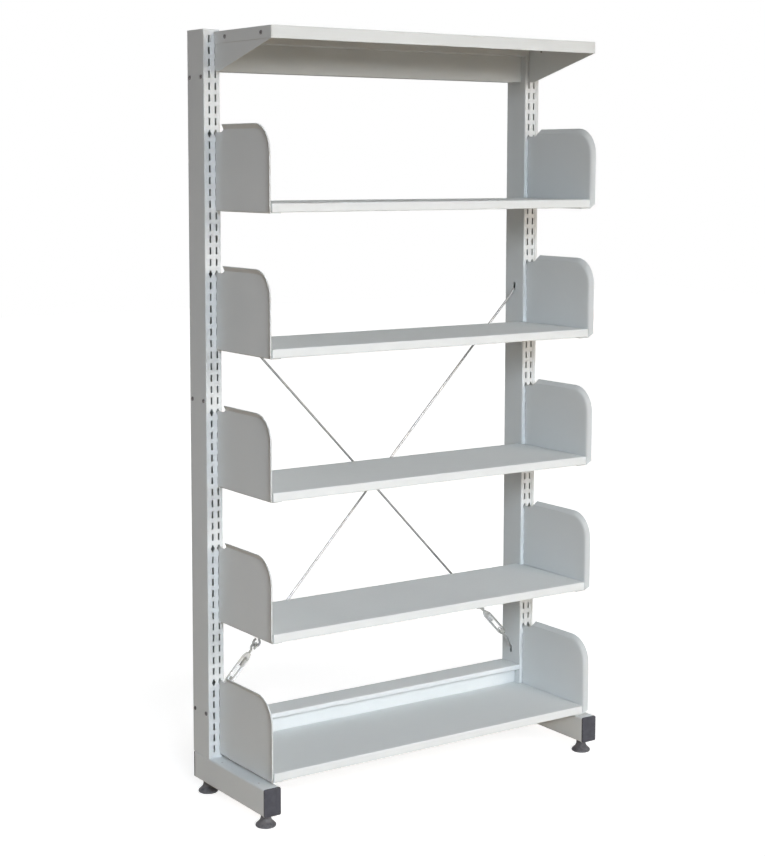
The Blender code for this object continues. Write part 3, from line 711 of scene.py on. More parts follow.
class Bench:
    """Makes the finishes once and puts every piece on its body."""

    def __init__(self, frame: dict) -> None:
        """Keeps the frame and starts with no finish built.
        """
        self.frame = frame
        self.materials: dict[str, Material] = {}

    def material(self, finish: Finish) -> Material:
        """Gives a finish's material, built the first time that it is asked for.

        Args:
            finish: The finish.

        Returns:
            Its material.
        """
        if finish.name not in self.materials:
            self.materials[finish.name] = finish.material()
        return self.materials[finish.name]

    def body_of(self, node: str) -> str:
        """Name of the body that a node rides on."""
        return self.frame["nodes"][node]["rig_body"]

    def joint(self, name: str) -> dict:
        """A joint of the frame by its name."""
        return next(joint for joint in self.frame["joints"] if joint["name"] == name)

    def copy_of(self, node: str, cuts: Iterable[tuple[Axis, float]] = ()) -> BMesh:
        """Copies a node's mesh with its triangles joined to flat faces.

        Args:
            node: The node's name.
            cuts: Planes that part the flat faces, each as an axis and a place on it.

        Returns:
            The copy.
        """
        source = self.frame["nodes"][node].data
        bm = bmesh.new()
        verts = [bm.verts.new(vert.co) for vert in source.vertices]
        for polygon in source.polygons:
            bm.faces.new([verts[i] for i in polygon.vertices])
        bmesh.ops.remove_doubles(bm, verts=bm.verts, dist=MERGE_DISTANCE)
        part_faces(bm, cuts)
        bmesh.ops.remove_doubles(bm, verts=bm.verts, dist=CUT_MERGE_DISTANCE)
        bmesh.ops.dissolve_limit(
            bm, angle_limit=FLAT_ANGLE, verts=bm.verts, edges=bm.edges, delimit={"SEAM"}
        )
        bmesh.ops.recalc_face_normals(bm, faces=bm.faces)
        return bm

    def put(
        self, name: str, shape: BMesh | Mesh, finish: Finish, body: str, stands_for: Sequence[str] = (),
        place: Matrix | None = None,
    ) -> Object:
        """Makes a piece and puts it on its body.

        Args:
            name: The piece's name.
            shape: A worked mesh, which is used up, or a finished one that other pieces may share.
            finish: Its surface.
            body: The body it rides on.
            stands_for: Nodes that it is shown in place of.
            place: Where its mesh goes, or None where it is already in place.

        Returns:
            The piece.
        """
        mesh = shape
        if isinstance(shape, BMesh):
            mesh = finished_mesh(name, shape)
            shade(mesh)
        if not mesh.materials:
            mesh.materials.append(self.material(finish))
        piece = place_object(name, mesh)
        if place is not None:
            piece.matrix_world = place
        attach(piece, body)
        if stands_for:
            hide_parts(*stands_for)
        LOG.info("%s: %d faces on %s", name, len(mesh.polygons), body)
        return piece

    def show(
        self, node: str, word: str, shape: BMesh | Mesh, finish: Finish, place: Matrix | None = None
    ) -> Object:
        """Shows a node as a piece that takes its name from the node and a word."""
        return self.put(f"{node}_{word}", shape, finish, self.body_of(node), [node], place)


@dataclass(frozen=True)
class SheetEase:
    """How the edges of a folded sheet are rounded.

    Attributes:
        wall: The sheet's thickness.
        fold_radius: Outer radius of its folds.
        edge_break: Rounding of the edges where it was cut.
        inner_share: Share of that rounding which hollow cut edges get.
        gentlest_fold: Smallest turn between two faces that is rounded.
        fold_axes: Axes that its folds run along, or none where they run in any direction.
        room_share: Share of the room beside an edge that its rounding may take.
        strip_share: Width of the strips beside the folds, in fold radii.
        steps: Faces across a fold.
    """

    wall: float
    fold_radius: float
    edge_break: float = 0.0002
    inner_share: float = 1.0
    gentlest_fold: float = math.radians(20)
    fold_axes: tuple[Axis, ...] = ()
    room_share: float = 0.45
    strip_share: float = 2.5
    steps: int = 3

    def is_fold(self, edge: BMEdge) -> bool:
        """Tells a fold from an edge where the sheet was cut.

        Args:
            edge: An edge of the sheet.

        Returns:
            True for a fold.
        """
        if self.fold_axes and not runs_along(edge, self.fold_axes):
            return False
        inwards = min(reach_across(face, edge) for face in edge.link_faces)
        widest = max(narrowness(face) for face in edge.link_faces)
        return min(inwards, widest) >= WALL_SLACK * self.wall

    def weight(self, edge: BMEdge) -> float:
        """Share of the fold radius that an edge is rounded by.

        Args:
            edge: An edge of the sheet.

        Returns:
            0 for a flat edge, 1 for the outer side of a fold, and less for its inner side or a cut edge.
        """
        if len(edge.link_faces) != 2 or edge.calc_face_angle(0.0) < self.gentlest_fold:
            return 0.0
        if not self.is_fold(edge):
            radius = self.edge_break * (1.0 if edge.is_convex else self.inner_share)
        elif edge.is_convex:
            radius = self.fold_radius
        else:
            radius = max(self.fold_radius - self.wall, self.edge_break)
        room = self.room_share * min(clearance(face, edge) for face in edge.link_faces)
        return min(radius, room) / self.fold_radius

    def sheet(self, bench: Bench, node: str) -> BMesh:
        """Copies a sheet node, and parts its flats from the strips beside its folds.

        Args:
            bench: Where pieces are made.
            node: The sheet's node.

        Returns:
            The copy, with its flats whole where the sheet isn't folded along one axis alone.
        """
        if len(self.fold_axes) != 1:
            return bench.copy_of(node)
        low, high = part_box(node)
        strip = self.strip_share * self.fold_radius
        cuts = []
        for axis in Axis:
            if axis not in self.fold_axes:
                cuts += [(axis, low[axis] + strip), (axis, high[axis] - strip)]
        return bench.copy_of(node, cuts)

    def dress(self, bench: Bench, node: str, bm: BMesh | None = None) -> None:
        """Shows a sheet node with rounded folds and broken edges.

        Args:
            bench: Where pieces are made.
            node: The sheet's node.
            bm: The sheet's mesh, or None for a copy of the node's.
        """
        sheet = bm or self.sheet(bench, node)
        weights = sheet.edges.layers.float.new("bevel_weight_edge")
        for edge in sheet.edges:
            edge[weights] = self.weight(edge)
        piece = bench.show(node, "sheet", sheet, POWDER_COAT)
        rounding = piece.modifiers.new("folds", "BEVEL")
        rounding.limit_method = "WEIGHT"
        rounding.width = self.fold_radius
        rounding.segments = self.steps
        rounding.use_clamp_overlap = False
        rounding.miter_outer = "MITER_ARC"
        shading = piece.modifiers.new("shading", "WEIGHTED_NORMAL")
        shading.keep_sharp = True


# Sub-assemblies


@dataclass
class SubAssembly:
    """What is made and dressed together on the bench."""

    bench: Bench


@dataclass
class PanScrew(SubAssembly):
    """A pan-head screw with a cross recess, one mesh for all of its size."""

    head_radius: float = 0.0046
    head_height: float = 0.0020
    head_shape: Profile = ((0.0, 1.0), (0.55, 0.97), (0.85, 0.72), (1.0, 0.38), (1.0, 0.0))
    shank_radius: float = 0.0017
    length: float = 0.0070
    shank_shape: Profile = ((1.0, 0.0), (1.0, -0.8), (0.3, -1.0), (0.0, -1.0))
    recess_reach: float = 0.0024
    recess_width: float = 0.0010
    recess_depth: float = 0.0013
    sides: int = 24
    mesh: Mesh = field(init=False)

    def build(self) -> None:
        """Makes the shared mesh, its head along +Z and its seat at Z = 0."""
        head = upright_points(self.head_shape, self.head_radius, self.head_height)
        shank = upright_points(self.shank_shape, self.shank_radius, self.length)
        crown = UP * self.head_height
        recess = bmesh.new()
        for long_axis in (Axis.X, Axis.Y):
            half = Vector((self.recess_width / 2, self.recess_width / 2, self.recess_depth))
            half[long_axis] = self.recess_reach
            add_box(recess, crown - half, crown + half)
        self.mesh = cut_out("pan_screw", lathe([*head, *shank], self.sides), recess)
        self.mesh.materials.append(self.bench.material(SHADE_DARKENED_SCREW))

    def dress(self, node: str, side: Side) -> None:
        """Shows a screw node as the detailed screw.

        Args:
            node: The screw's node.
            side: The side that its head looks to.
        """
        low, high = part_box(node)
        seat = (low + high) / 2
        seat.x = side.outer((low, high)) - side.value * self.head_height
        turn = side.outwards.to_track_quat("Z", "Y").to_matrix().to_4x4()
        self.bench.show(node, "head", self.mesh, SHADE_DARKENED_SCREW, Matrix.Translation(seat) @ turn)


@dataclass
class Column(SubAssembly):
    """A slotted upright with its cover, the cover's screws and the weld at its foot."""

    side: Side
    screw: PanScrew
    upright_ease: SheetEase = SheetEase(
        wall=0.0015, fold_radius=0.0022, edge_break=0.0, fold_axes=(Axis.Z,)
    )
    cover_ease: SheetEase = SheetEase(wall=0.001, fold_radius=0.0015, fold_axes=(Axis.Z,))
    cover_flange: float = 0.008
    square_corner: float = math.radians(80)
    slot_corner: float = 0.0007
    slot_steps: int = 2
    punched_share: float = 0.49
    punched_steps: int = 5
    width_digits: int = 4
    screw_count: int = 6
    weld_radius: float = 0.0016
    weld_ripple: float = 0.0035
    weld_dip: float = 0.18
    weld_end_share: float = 0.35
    weld_margin: float = 0.0015
    weld_sides: int = 12

    def slot_corners(self, bm: BMesh, axis: Axis) -> dict[float, list[BMEdge]]:
        """Finds the inner corners of the slots that are punched along an axis.

        Args:
            bm: The upright's mesh.
            axis: X for slots in the inner wall, Y for slots in the front.

        Returns:
            The corner edges by the narrower width of their slot.
        """
        found: dict[float, list[BMEdge]] = {}
        for edge in along_axis(bm, axis):
            short = edge.calc_length() < WALL_SLACK * self.upright_ease.wall
            if not short or edge.is_convex or edge.calc_face_angle(0.0) < self.square_corner:
                continue
            width = min(face.calc_area() / edge.calc_length() for face in edge.link_faces)
            if width > 2 * self.slot_corner:
                found.setdefault(round(width, self.width_digits), []).append(edge)
        return found

    def dress_upright(self) -> None:
        """Rounds the slots' corners and the upright's folds."""
        node = f"{self.side.word}_upright"
        bm = self.upright_ease.sheet(self.bench, node)
        for width in self.slot_corners(bm, Axis.Y):
            round_edges(bm, self.slot_corners(bm, Axis.Y)[width], self.slot_corner, self.slot_steps)
        for width in self.slot_corners(bm, Axis.X):
            radius = self.punched_share * width
            round_edges(bm, self.slot_corners(bm, Axis.X)[width], radius, self.punched_steps)
        self.upright_ease.dress(self.bench, node, bm)

    def weld_foot(self) -> None:
        """Runs a painted weld bead along the upright's front edge on the leg."""
        side = self.side
        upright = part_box(f"{side.word}_upright")
        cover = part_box(f"{side.word}_upright_cover")
        inner = side.inner(upright) + side.value * 2 * self.weld_margin
        outer = side.outer(cover) - side.value * (self.cover_flange + self.weld_margin)
        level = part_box(f"{side.word}_base_leg")[1].z
        ends = [Vector((x, upright[0].y, level)) for x in (inner, outer)]
        length = (ends[1] - ends[0]).length

        def bead(run: float, _angle: float) -> float:
            """Works out the bead's radius: rippled along its run and thinner at its ends.

            Args:
                run: Distance along the bead.
                _angle: Angle around it, which changes nothing.

            Returns:
                The radius.
            """
            ripple = abs(math.sin(math.pi * run / self.weld_ripple))
            taper = min(1.0, self.weld_end_share + min(run, length - run) / (2 * self.weld_radius))
            return self.weld_radius * (1.0 - self.weld_dip * (1.0 - ripple)) * taper

        bm = sweep(dense(ends, self.weld_ripple / STEPS_PER_PITCH), bead, self.weld_sides)
        self.bench.put(f"{side.word}_upright_weld", bm, POWDER_COAT, FRAME_BODY)

    def dress(self) -> None:
        """Dresses the column's pieces in order."""
        self.dress_upright()
        self.cover_ease.dress(self.bench, f"{self.side.word}_upright_cover")
        for number in range(1, self.screw_count + 1):
            self.screw.dress(f"{self.side.word}_cover_screw_{number}", self.side)
        self.weld_foot()


@dataclass
class Base(SubAssembly):
    """A base leg with its moulded end caps, levelling feet and the small plugs in its top."""

    side: Side
    leg_ease: SheetEase = SheetEase(wall=0.002, fold_radius=0.0035, fold_axes=(Axis.Y,))
    cap_thickness: float = 0.005
    cap_corner: float = 0.0035
    cap_corner_steps: int = 5
    cap_edge: float = 0.0014
    cap_edge_steps: int = 3
    cap_plug_wall: float = 0.0023
    foot_gap: float = 0.0003
    foot_neck_radius: float = 0.011
    foot_neck_height: float = 0.007
    foot_neck_edge: float = 0.0008
    foot_flare_turn: float = math.radians(60)
    foot_flare_steps: int = 12
    foot_rim: float = 0.004
    foot_rim_inset: float = 0.0006
    foot_rim_rise: float = 0.0012
    foot_sole_edge_share: float = 1 / 3
    foot_sides: int = 48
    stud_radius: float = 0.005
    stud_pitch: float = 0.0015
    stud_thread: float = 0.0006
    stud_sink: float = 0.001
    stud_sides: int = 18
    plug_radius: float = 0.0026
    plug_height: float = 0.0006
    plug_shape: Profile = ((0.0, 1.0), (0.6, 0.9), (1.0, 0.2), (1.0, -1.0), (0.0, -1.0))
    plug_sides: int = 20
    plug_inset: float = 0.013
    plug_depths: tuple[float, float] = (-0.037, -0.195)

    def cap(self, end: LegEnd) -> None:
        """Makes a leg's moulded end cap with rounded corners and a plug.

        Args:
            end: The end of the leg.
        """
        node = f"{self.side.word}_{end.word}_leg_cap"
        low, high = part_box(node)
        outer = low.y if end is LegEnd.FRONT else high.y
        inner = outer - end.value * self.cap_thickness
        bm = bmesh.new()
        add_box(bm, Vector((low.x, min(outer, inner), low.z)), Vector((high.x, max(outer, inner), high.z)))
        round_edges(bm, along_axis(bm, Axis.Y), self.cap_corner, self.cap_corner_steps)
        face = min(bm.faces, key=lambda item: (item.calc_center_median().y - outer) * -end.value)
        round_edges(bm, face.edges, self.cap_edge, self.cap_edge_steps)
        seat = min(bm.faces, key=lambda item: (item.calc_center_median().y - inner) * end.value)
        bmesh.ops.inset_individual(bm, faces=[seat], thickness=self.cap_plug_wall)
        plug = bmesh.ops.extrude_discrete_faces(bm, faces=[seat])["faces"][0]
        reach = (high.y - low.y) - self.cap_thickness
        bmesh.ops.translate(bm, verts=plug.verts, vec=BACKWARDS * -end.value * reach)
        self.bench.show(node, "moulding", bm, MOULDED_PLASTIC)

    def foot_profile(self, radius: float, top: float) -> list[Vector]:
        """Draws half of a foot: a neck that flares out to a rim.

        Args:
            radius: The rim's radius.
            top: Height of the neck's top above the floor.

        Returns:
            The profile, in the XZ plane.
        """
        neck, edge = self.foot_neck_radius, self.foot_neck_edge
        flare_top = top - self.foot_neck_height
        flare_arms = (ACROSS * (neck - radius), UP * (2 * self.foot_rim - flare_top))
        flare_centre = ACROSS * radius + UP * flare_top
        flare = arc(flare_centre, *flare_arms, (0.0, self.foot_flare_turn), self.foot_flare_steps)
        sole_edge = self.foot_rim * self.foot_sole_edge_share
        shoulder = (radius - self.foot_rim_inset, self.foot_rim + self.foot_rim_rise)
        rim = [shoulder, (radius, self.foot_rim), (radius, sole_edge), (radius - sole_edge, 0.0), (0.0, 0.0)]
        return [
            *upright_points([(0.0, top), (neck - edge, top), (neck, top - edge)]),
            *flare, *upright_points(rim),
        ]

    def foot(self, end: LegEnd) -> None:
        """Makes a flared foot and the threaded stud that carries it.

        Args:
            end: The end of the leg that it stands under.
        """
        node = f"{self.side.word}_{end.word}_foot"
        low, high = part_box(node)
        centre = Vector(((low.x + high.x) / 2, (low.y + high.y) / 2, 0.0))
        neck_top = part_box(f"{self.side.word}_base_leg")[0].z - self.foot_gap
        base = lathe(self.foot_profile((high.x - low.x) / 2, neck_top), self.foot_sides)
        bmesh.ops.translate(base, verts=base.verts, vec=centre)
        self.bench.show(node, "base", base, DUSTY_PLASTIC)
        line = dense(
            [centre + UP * (neck_top - self.stud_sink), centre + UP * high.z],
            self.stud_pitch / STEPS_PER_PITCH,
        )
        thread = thread_rule(self.stud_radius, self.stud_pitch, self.stud_thread)
        stud = sweep(line, thread, self.stud_sides)
        self.bench.put(f"{node}_stud", stud, ZINC_PLATE, self.bench.body_of(node))

    def top_plugs(self) -> None:
        """Puts two small flush plugs in the leg's top, towards its outer side."""
        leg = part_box(f"{self.side.word}_base_leg")
        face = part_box(f"{self.side.word}_upright")[0].y
        across = self.side.outer(leg) - self.side.value * self.plug_inset
        dome = upright_points(self.plug_shape, self.plug_radius, self.plug_height)
        for number, depth in enumerate(self.plug_depths, start=1):
            bm = lathe(dome, self.plug_sides)
            bmesh.ops.translate(bm, verts=bm.verts, vec=Vector((across, face + depth, leg[1].z)))
            self.bench.put(f"{self.side.word}_leg_plug_{number}", bm, ZINC_PLATE, FRAME_BODY)

    def dress(self) -> None:
        """Dresses the base's pieces in order."""
        self.leg_ease.dress(self.bench, f"{self.side.word}_base_leg")
        for end in LegEnd:
            self.cap(end)
            self.foot(end)
        self.top_plugs()


@dataclass
class TieBeams(SubAssembly):
    """The folded beams that tie the uprights together."""

    nodes: tuple[str, str] = ("top_beam", "bottom_beam")
    ease: SheetEase = SheetEase(
        wall=0.0015, fold_radius=0.0022, edge_break=0.00015, inner_share=0.0, fold_axes=(Axis.X,)
    )

    def dress(self) -> None:
        """Rounds the beams' folds."""
        for node in self.nodes:
            self.ease.dress(self.bench, node)


@dataclass
class Shelf(SubAssembly):
    """A shelf tray and its two brackets."""

    number: int
    tray_ease: SheetEase = SheetEase(wall=0.001, fold_radius=0.0018, fold_axes=tuple(Axis))
    bracket_ease: SheetEase = SheetEase(wall=0.002, fold_radius=0.0042, steps=4)

    def dress(self) -> None:
        """Rounds the folds of the tray and the bends of its brackets."""
        self.tray_ease.dress(self.bench, f"shelf_{self.number}_plate")
        for side in Side:
            self.bracket_ease.dress(self.bench, f"shelf_{self.number}_{side.word}_bracket")


@dataclass
class Canopy(SubAssembly):
    """The canopy tray with the seams at its front corners, its brackets and their screws."""

    screw: PanScrew
    tray_ease: SheetEase = SheetEase(wall=0.001, fold_radius=0.0018, fold_axes=tuple(Axis))
    bracket_ease: SheetEase = SheetEase(wall=0.002, fold_radius=0.0030)
    screw_count: int = 2
    seam_inset: float = 0.003
    seam_width: float = 0.0010
    seam_depth: float = 0.0006
    seam_ends: tuple[float, float] = (0.002, 0.005)

    def seamed_tray(self) -> BMesh:
        """Copies the tray and sinks a seam in its front lip beside each corner.

        Returns:
            The copy.
        """
        low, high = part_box("canopy_top")
        bottom, top = low.z + self.seam_ends[0], high.z - self.seam_ends[1]
        cuts = [(Axis.Z, bottom), (Axis.Z, top)]
        middles = []
        for side in Side:
            near = side.outer((low, high)) - side.value * self.seam_inset
            far = near - side.value * self.seam_width
            cuts += [(Axis.X, near), (Axis.X, far)]
            middles.append(Vector(((near + far) / 2, low.y, (bottom + top) / 2)))
        bm = self.bench.copy_of("canopy_top", cuts)
        for middle in middles:
            seam = min(bm.faces, key=lambda face: (face.calc_center_median() - middle).length)
            floor = bmesh.ops.extrude_discrete_faces(bm, faces=[seam])["faces"][0]
            bmesh.ops.translate(bm, verts=floor.verts, vec=BACKWARDS * self.seam_depth)
        return bm

    def dress(self) -> None:
        """Dresses the canopy's pieces in order."""
        self.tray_ease.dress(self.bench, "canopy_top", self.seamed_tray())
        for side in Side:
            self.bracket_ease.dress(self.bench, f"{side.word}_canopy_bracket")
            for number in range(1, self.screw_count + 1):
                self.screw.dress(f"{side.word}_canopy_screw_{number}", side)


@dataclass
class BraceRod(SubAssembly):
    """One diagonal of the cross brace: rod, eye screw, turnbuckle and hook screw."""

    letter: str
    upper_side: Side
    rod_radius: float = 0.00275
    rod_sides: int = 14
    rod_drop: float = 0.005
    rod_knee: float = 0.010
    bow_steps: int = 24
    crossing_gap: float = 0.0005
    thread_radius: float = 0.003
    thread_pitch: float = 0.0010
    thread_depth: float = 0.00045
    thread_sides: int = 16
    wall: float = 0.0015
    seat_gap: float = 0.0003
    hook_out: float = 0.003
    hook_tail: float = 0.014
    hook_rise: float = 0.0135
    hook_knee: float = 0.016
    hook_thread_show: float = 0.010
    hook_thread_lead: float = 0.004
    ring_radius: float = 0.0085
    ring_wire: float = 0.0032
    ring_standoff: float = 0.0065
    ring_steps: int = 32
    eye_bend: float = 0.004
    eye_bend_steps: int = 6
    eye_gap: float = math.radians(52)
    eye_thread_show: float = 0.022
    eye_thread_share: float = 0.6
    body_start: float = 0.029
    body_length: float = 0.088
    body_half_width: float = 0.0085
    body_thickness: float = 0.010
    body_tip_half: float = 0.0046
    body_taper: float = 0.012
    body_boss: float = 0.013
    body_bar: float = 0.0035
    body_round: float = 0.0014
    body_round_steps: int = 3
    window_steps: int = 8
    bore_sides: int = 24
    along: Vector = field(init=False)
    middle: Vector = field(init=False)
    lower: Vector = field(init=False)
    way_in: Vector = field(init=False)
    way_out: Vector = field(init=False)
    wall_x: float = field(init=False)
    eye: Vector = field(init=False)
    loop: Vector = field(init=False)

    def __post_init__(self) -> None:
        """Works out the brace's line from the frame."""
        side = self.upper_side
        joint = self.bench.joint(f"turnbuckle_{self.letter}_turn")
        self.along = Vector(joint["axis"]).normalized()
        self.middle = Vector(joint["pos_m"])
        self.lower = self.middle - self.along * (self.body_start + self.body_length / 2)
        self.way_out = self.lower - UP * self.hook_rise
        self.wall_x = abs(side.inner(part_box(f"{side.word}_upright")))
        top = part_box(f"brace_rod_{self.letter}")[1].z - self.rod_radius
        self.way_in = Vector((side.value * (self.wall_x - self.hook_out), self.middle.y, top))
        stem = self.body_start + self.body_length + self.ring_standoff
        self.eye = self.lower + self.along * (stem + self.ring_radius + self.ring_wire)
        self.loop = self.eye + self.along * (2 * self.ring_radius - 2 * self.ring_wire - self.seat_gap)

    def tail(self, side: Side, radius: float, height: float) -> Vector:
        """Where a hook turns behind an upright's inner wall."""
        behind = self.wall_x + self.wall + self.seat_gap + radius
        return Vector((side.value * behind, self.middle.y, height))

    def formed_eye(self, centre: Vector, stem: Vector, normal: Vector) -> list[Vector]:
        """Bends a wire's end round into an eye.

        Args:
            centre: Middle of the eye.
            stem: Direction from the eye to its stem.
            normal: Direction across the eye's plane.

        Returns:
            The path from the end of the stem round the eye.
        """
        across = normal.cross(stem).normalized()
        bend, ring = self.eye_bend, self.ring_radius
        reach = math.sqrt((ring + bend) ** 2 - bend ** 2)
        meet = math.atan2(bend, reach)
        pivot = centre + stem * reach + across * bend
        neck_turn = (-math.pi / 2, meet - math.pi)
        neck = arc(pivot, stem * bend, across * bend, neck_turn, self.eye_bend_steps)
        ring_turn = (meet, math.tau - self.eye_gap)
        return [*neck, *arc(centre, stem * ring, across * ring, ring_turn, self.ring_steps)[1:]]

    def rod(self) -> None:
        """Makes the long rod with its hook at the top and its eye at the bottom."""
        shank = self.tail(self.upper_side, self.rod_radius, self.way_in.z)
        eye = self.formed_eye(self.loop, self.along, BACKWARDS)
        knee = self.way_in - UP * self.rod_drop - self.along * self.rod_knee
        corners = [shank - UP * self.hook_tail, shank, self.way_in, knee, eye[0]]
        hook = bent(corners, self.rod_radius + self.seat_gap)
        start, end = hook[-2], hook[-1]
        bow = BACKWARDS * self.upper_side.value * (self.rod_radius + self.crossing_gap)
        span = []
        for i in range(1, self.bow_steps):
            share = i / self.bow_steps
            span.append(start.lerp(end, share) + bow * math.sin(math.pi * share))
        bm = sweep([*hook[:-1], *span, *eye], lambda _run, _angle: self.rod_radius, self.rod_sides)
        self.bench.show(f"brace_rod_{self.letter}", "wire", bm, ZINC_WIRE)

    def put_screw(self, node: str, path: Sequence[Vector], start: float, end: float) -> None:
        """Puts a formed screw on the frame.

        Args:
            node: The screw's node.
            path: Its middle line.
            start: Distance run where its thread starts.
            end: Distance run where its thread ends.
        """
        rule = thread_rule(self.thread_radius, self.thread_pitch, self.thread_depth, start, end)
        self.bench.show(node, "thread", sweep(path, rule, self.thread_sides), ZINC_PLATE)

    def eye_screw(self) -> None:
        """Makes the threaded screw whose eye holds the rod."""
        stem_start = self.body_start + self.body_length - self.body_boss - self.eye_thread_show
        start = self.lower + self.along * stem_start
        eye = self.formed_eye(self.eye, -self.along, BACKWARDS.cross(self.along))
        length = self.body_boss + self.eye_thread_show + self.ring_standoff * self.eye_thread_share
        stem = dense([start, start + self.along * length], self.thread_pitch / STEPS_PER_PITCH)
        self.put_screw(f"eye_screw_{self.letter}", [*stem, *eye], 0.0, length)

    def hook_screw(self) -> None:
        """Makes the threaded screw whose hook holds the upright."""
        side = Side(-self.upper_side.value)
        turn = self.tail(side, self.thread_radius, self.way_out.z)
        knee = self.lower + self.along * self.hook_knee
        start = self.lower + self.along * (self.body_start - self.hook_thread_lead)
        length = self.body_boss + self.hook_thread_show + self.hook_thread_lead
        corners = [turn + UP * self.hook_tail, turn, self.way_out, knee, start]
        hook = bent(corners, self.thread_radius + self.seat_gap)
        run = sum((after - before).length for before, after in zip(hook, hook[1:]))
        stem = dense([start, start + self.along * length], self.thread_pitch / STEPS_PER_PITCH)
        self.put_screw(f"hook_screw_{self.letter}", [*hook, *stem[1:]], run, math.inf)

    def turnbuckle_rings(self) -> list[list[Vector]]:
        """Draws the turnbuckle's rim with tapered ends, and the round-ended window between its bars.

        Returns:
            The rim and the window, along X in the XY plane.
        """
        half = self.body_length / 2
        tip = Vector((half, self.body_tip_half, 0.0))
        shoulder = Vector((half - self.body_taper, self.body_half_width, 0.0))
        upper = [tip, shoulder, *[Vector((-spot.x, spot.y, 0.0)) for spot in (shoulder, tip)]]
        rim = [*upper, *[Vector((spot.x, -spot.y, 0.0)) for spot in reversed(upper)]]
        opening = self.body_half_width - self.body_bar
        reach = half - self.body_boss - opening
        window = []
        for way in (1, -1):
            start = -way * math.pi / 2
            centre, arms = ACROSS * way * reach, (ACROSS * opening, BACKWARDS * opening)
            window += arc(centre, *arms, (start, start + math.pi), self.window_steps)
        return [rim, window]

    def turnbuckle(self) -> None:
        """Makes the turnbuckle's open body with rounded bars and a bore from end to end."""
        node = f"turnbuckle_{self.letter}"
        plate = rounded_plate(
            "turnbuckle_outline", self.turnbuckle_rings(), self.body_thickness, self.body_round,
            self.body_round_steps,
        )
        ends = [ACROSS * -self.body_length, ACROSS * self.body_length]
        bore = sweep(ends, lambda _run, _angle: self.thread_radius + self.seat_gap, self.bore_sides)
        mesh = cut_out(f"{node}_open_body", plate, bore)
        turn = Matrix((self.along, BACKWARDS.cross(self.along), BACKWARDS)).transposed().to_4x4()
        mesh.transform(Matrix.Translation(self.middle) @ turn)
        self.bench.show(node, "open_body", mesh, ZINC_PLATE)

    def dress(self) -> None:
        """Dresses the brace's pieces in order."""
        self.rod()
        self.eye_screw()
        self.hook_screw()
        self.turnbuckle()


# Studio


@dataclass(frozen=True)
class Softbox:
    """A rectangular area light that looks at a spot."""

    name: str
    place: Vector
    power: float
    colour: Colour = WHITE
    target: Vector = RACK_MIDDLE
    width: float = 2.0
    height: float = 2.0
    spread: float = math.pi

    def build(self) -> None:
        """Puts the light in the scene."""
        light = bpy.data.lights.new(self.name, "AREA")
        light.color = self.colour
        light.spread = self.spread
        light.shape = "RECTANGLE"
        light.size = self.width
        light.size_y = self.height
        light.energy = self.power
        lamp = place_object(self.name, light)
        lamp.location = self.place
        lamp.rotation_euler = (self.target - self.place).to_track_quat("-Z", "Y").to_euler()
        lamp.visible_camera = False


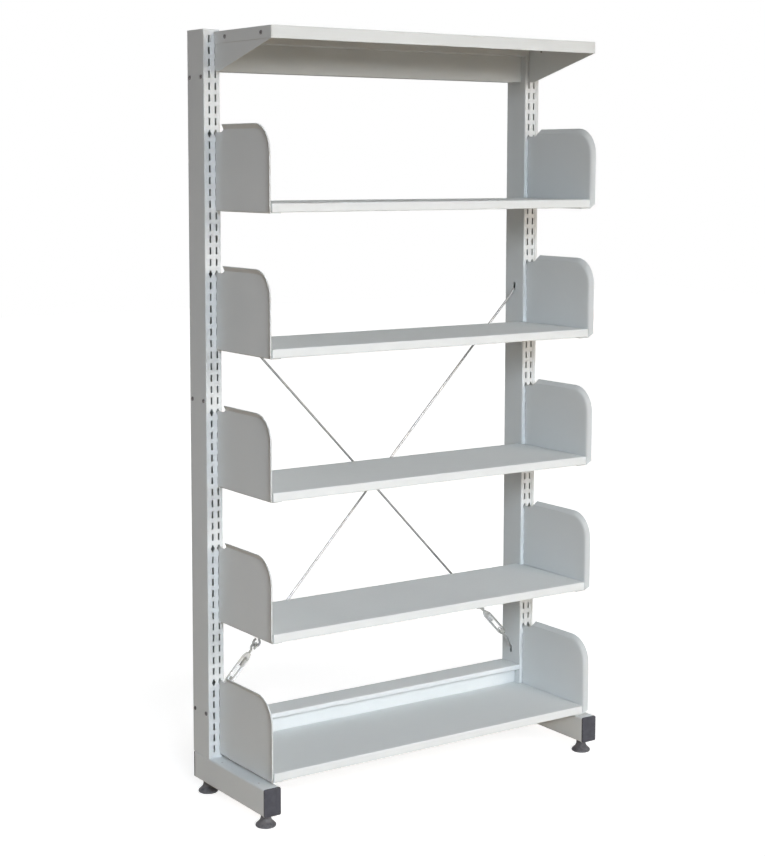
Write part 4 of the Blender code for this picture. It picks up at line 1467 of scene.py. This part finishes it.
@dataclass(frozen=True)
class Studio:
    """A pale floor, soft light and the camera at the photograph's angle."""

    camera_place: Vector = Vector((-2.28672, -3.26595, 1.39184))
    camera_turn: tuple[float, float, float] = (84.02467, -0.12708, -34.34323)
    lens: float = 74.4991
    sensor_width: float = 36.0
    shift_up: float = -0.09
    ambient_front: float = 0.10
    ambient_rear: float = 0.25
    floor_size: float = 24.0
    floor_colour: Colour = (0.66, 0.54, 0.41)
    shadow_colour: Colour = (0.50, 0.50, 0.50)
    floor_glow: float = 0.80
    glow_start: float = 0.9
    glow_end: float = 2.4
    lights: tuple[Softbox, ...] = (
        Softbox("right_front_softbox", Vector((1.7, -6.2, 3.1)), 198.0, (1.0, 0.91, 0.83)),
        Softbox(
            "left_front_softbox", Vector((-2.2, -5.9, 2.8)), 23.5, (0.86, 0.92, 1.0),
            target=Vector((0.0, 0.0, 0.1)), spread=math.radians(45),
        ),
        Softbox("left_softbox", Vector((-7.0, -0.5, 2.0)), 26.0, (1.0, 0.90, 0.90)),
        Softbox(
            "rear_softbox", Vector((2.2, 5.8, 0.9)), 11.0, width=3.0, height=1.5, spread=math.radians(60),
        ),
    )

    def build_world(self) -> None:
        """Makes a white backdrop that lights the rack at a plain level."""
        world = bpy.data.worlds.new("studio")
        graph = NodeGraph(world)
        way = graph.add("ShaderNodeTexCoord")["Generated"]
        fade = {
            "Value": graph.add("ShaderNodeSeparateXYZ", {"Vector": way})["Y"],
            "From Min": -1.0, "To Min": self.ambient_front, "To Max": self.ambient_rear,
        }
        level = graph.add("ShaderNodeMapRange", fade)["Result"]
        looks = [
            graph.add("ShaderNodeBackground", {"Color": (*WHITE, 1.0), "Strength": strength})["Background"]
            for strength in (level, 1.0)
        ]
        graph.split_surface("ShaderNodeOutputWorld", *looks)
        bpy.context.scene.world = world

    def floor_material(self) -> Material:
        """Makes a floor that looks white, keeps the rack's shadow and throws back a little warm light.

        Returns:
            The material.
        """
        material = bpy.data.materials.new("pale_floor")
        graph = NodeGraph(material)
        place = graph.add("ShaderNodeTexCoord")["Object"]
        fade = {
            "Value": graph.add("ShaderNodeVectorMath", {0: place}, operation="LENGTH")["Value"],
            "From Min": self.glow_start, "From Max": self.glow_end, "To Min": self.floor_glow,
        }
        level = graph.add("ShaderNodeMapRange", fade)["Result"]
        glow = graph.add("ShaderNodeEmission", {"Strength": level})["Emission"]
        bounce, shadow = [
            graph.add("ShaderNodeBsdfDiffuse", {"Color": (*colour, 1.0)})["BSDF"]
            for colour in (self.floor_colour, self.shadow_colour)
        ]
        shown = graph.add("ShaderNodeAddShader", {0: shadow, 1: glow})["Shader"]
        graph.split_surface("ShaderNodeOutputMaterial", bounce, shown)
        return material

    def build_floor(self) -> None:
        """Lays the floor under the rack."""
        bm = bmesh.new()
        bmesh.ops.create_grid(bm, x_segments=1, y_segments=1, size=self.floor_size / 2)
        mesh = finished_mesh("studio_floor", bm)
        mesh.materials.append(self.floor_material())
        floor = place_object("studio_floor", mesh)

    def build_camera(self) -> None:
        """Sets the camera where the photograph was taken from."""
        lens = bpy.data.cameras.new("photo_view")
        lens.lens = self.lens
        lens.sensor_width = self.sensor_width
        lens.shift_y = self.shift_up
        camera = place_object("photo_view", lens)
        camera.location = self.camera_place
        camera.rotation_euler = [math.radians(angle) for angle in self.camera_turn]
        bpy.context.scene.camera = camera

    def build(self) -> None:
        """Builds the studio round the rack."""
        bpy.context.scene.view_settings.view_transform = "Standard"
        self.build_world()
        self.build_floor()
        self.build_camera()
        for light in self.lights:
            light.build()


def clear_scene() -> None:
    """Removes what a new file holds."""
    for item in list(bpy.data.objects):
        bpy.data.objects.remove(item, do_unlink=True)


def main() -> None:
    """Dresses the rack, sub-assembly by sub-assembly."""
    logging.basicConfig(level=logging.INFO, format="%(name)s: %(message)s")
    clear_scene()
    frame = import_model()
    Studio().build()
    bench = Bench(frame)
    screw = PanScrew(bench)
    screw.build()
    for side in Side:
        Column(bench, side, screw).dress()
        Base(bench, side).dress()
    TieBeams(bench).dress()
    for number in range(1, SHELF_COUNT + 1):
        Shelf(bench, number).dress()
    Canopy(bench, screw).dress()
    for letter, side in (("a", Side.RIGHT), ("b", Side.LEFT)):
        BraceRod(bench, letter, side).dress()


if __name__ == "__main__":
    main()
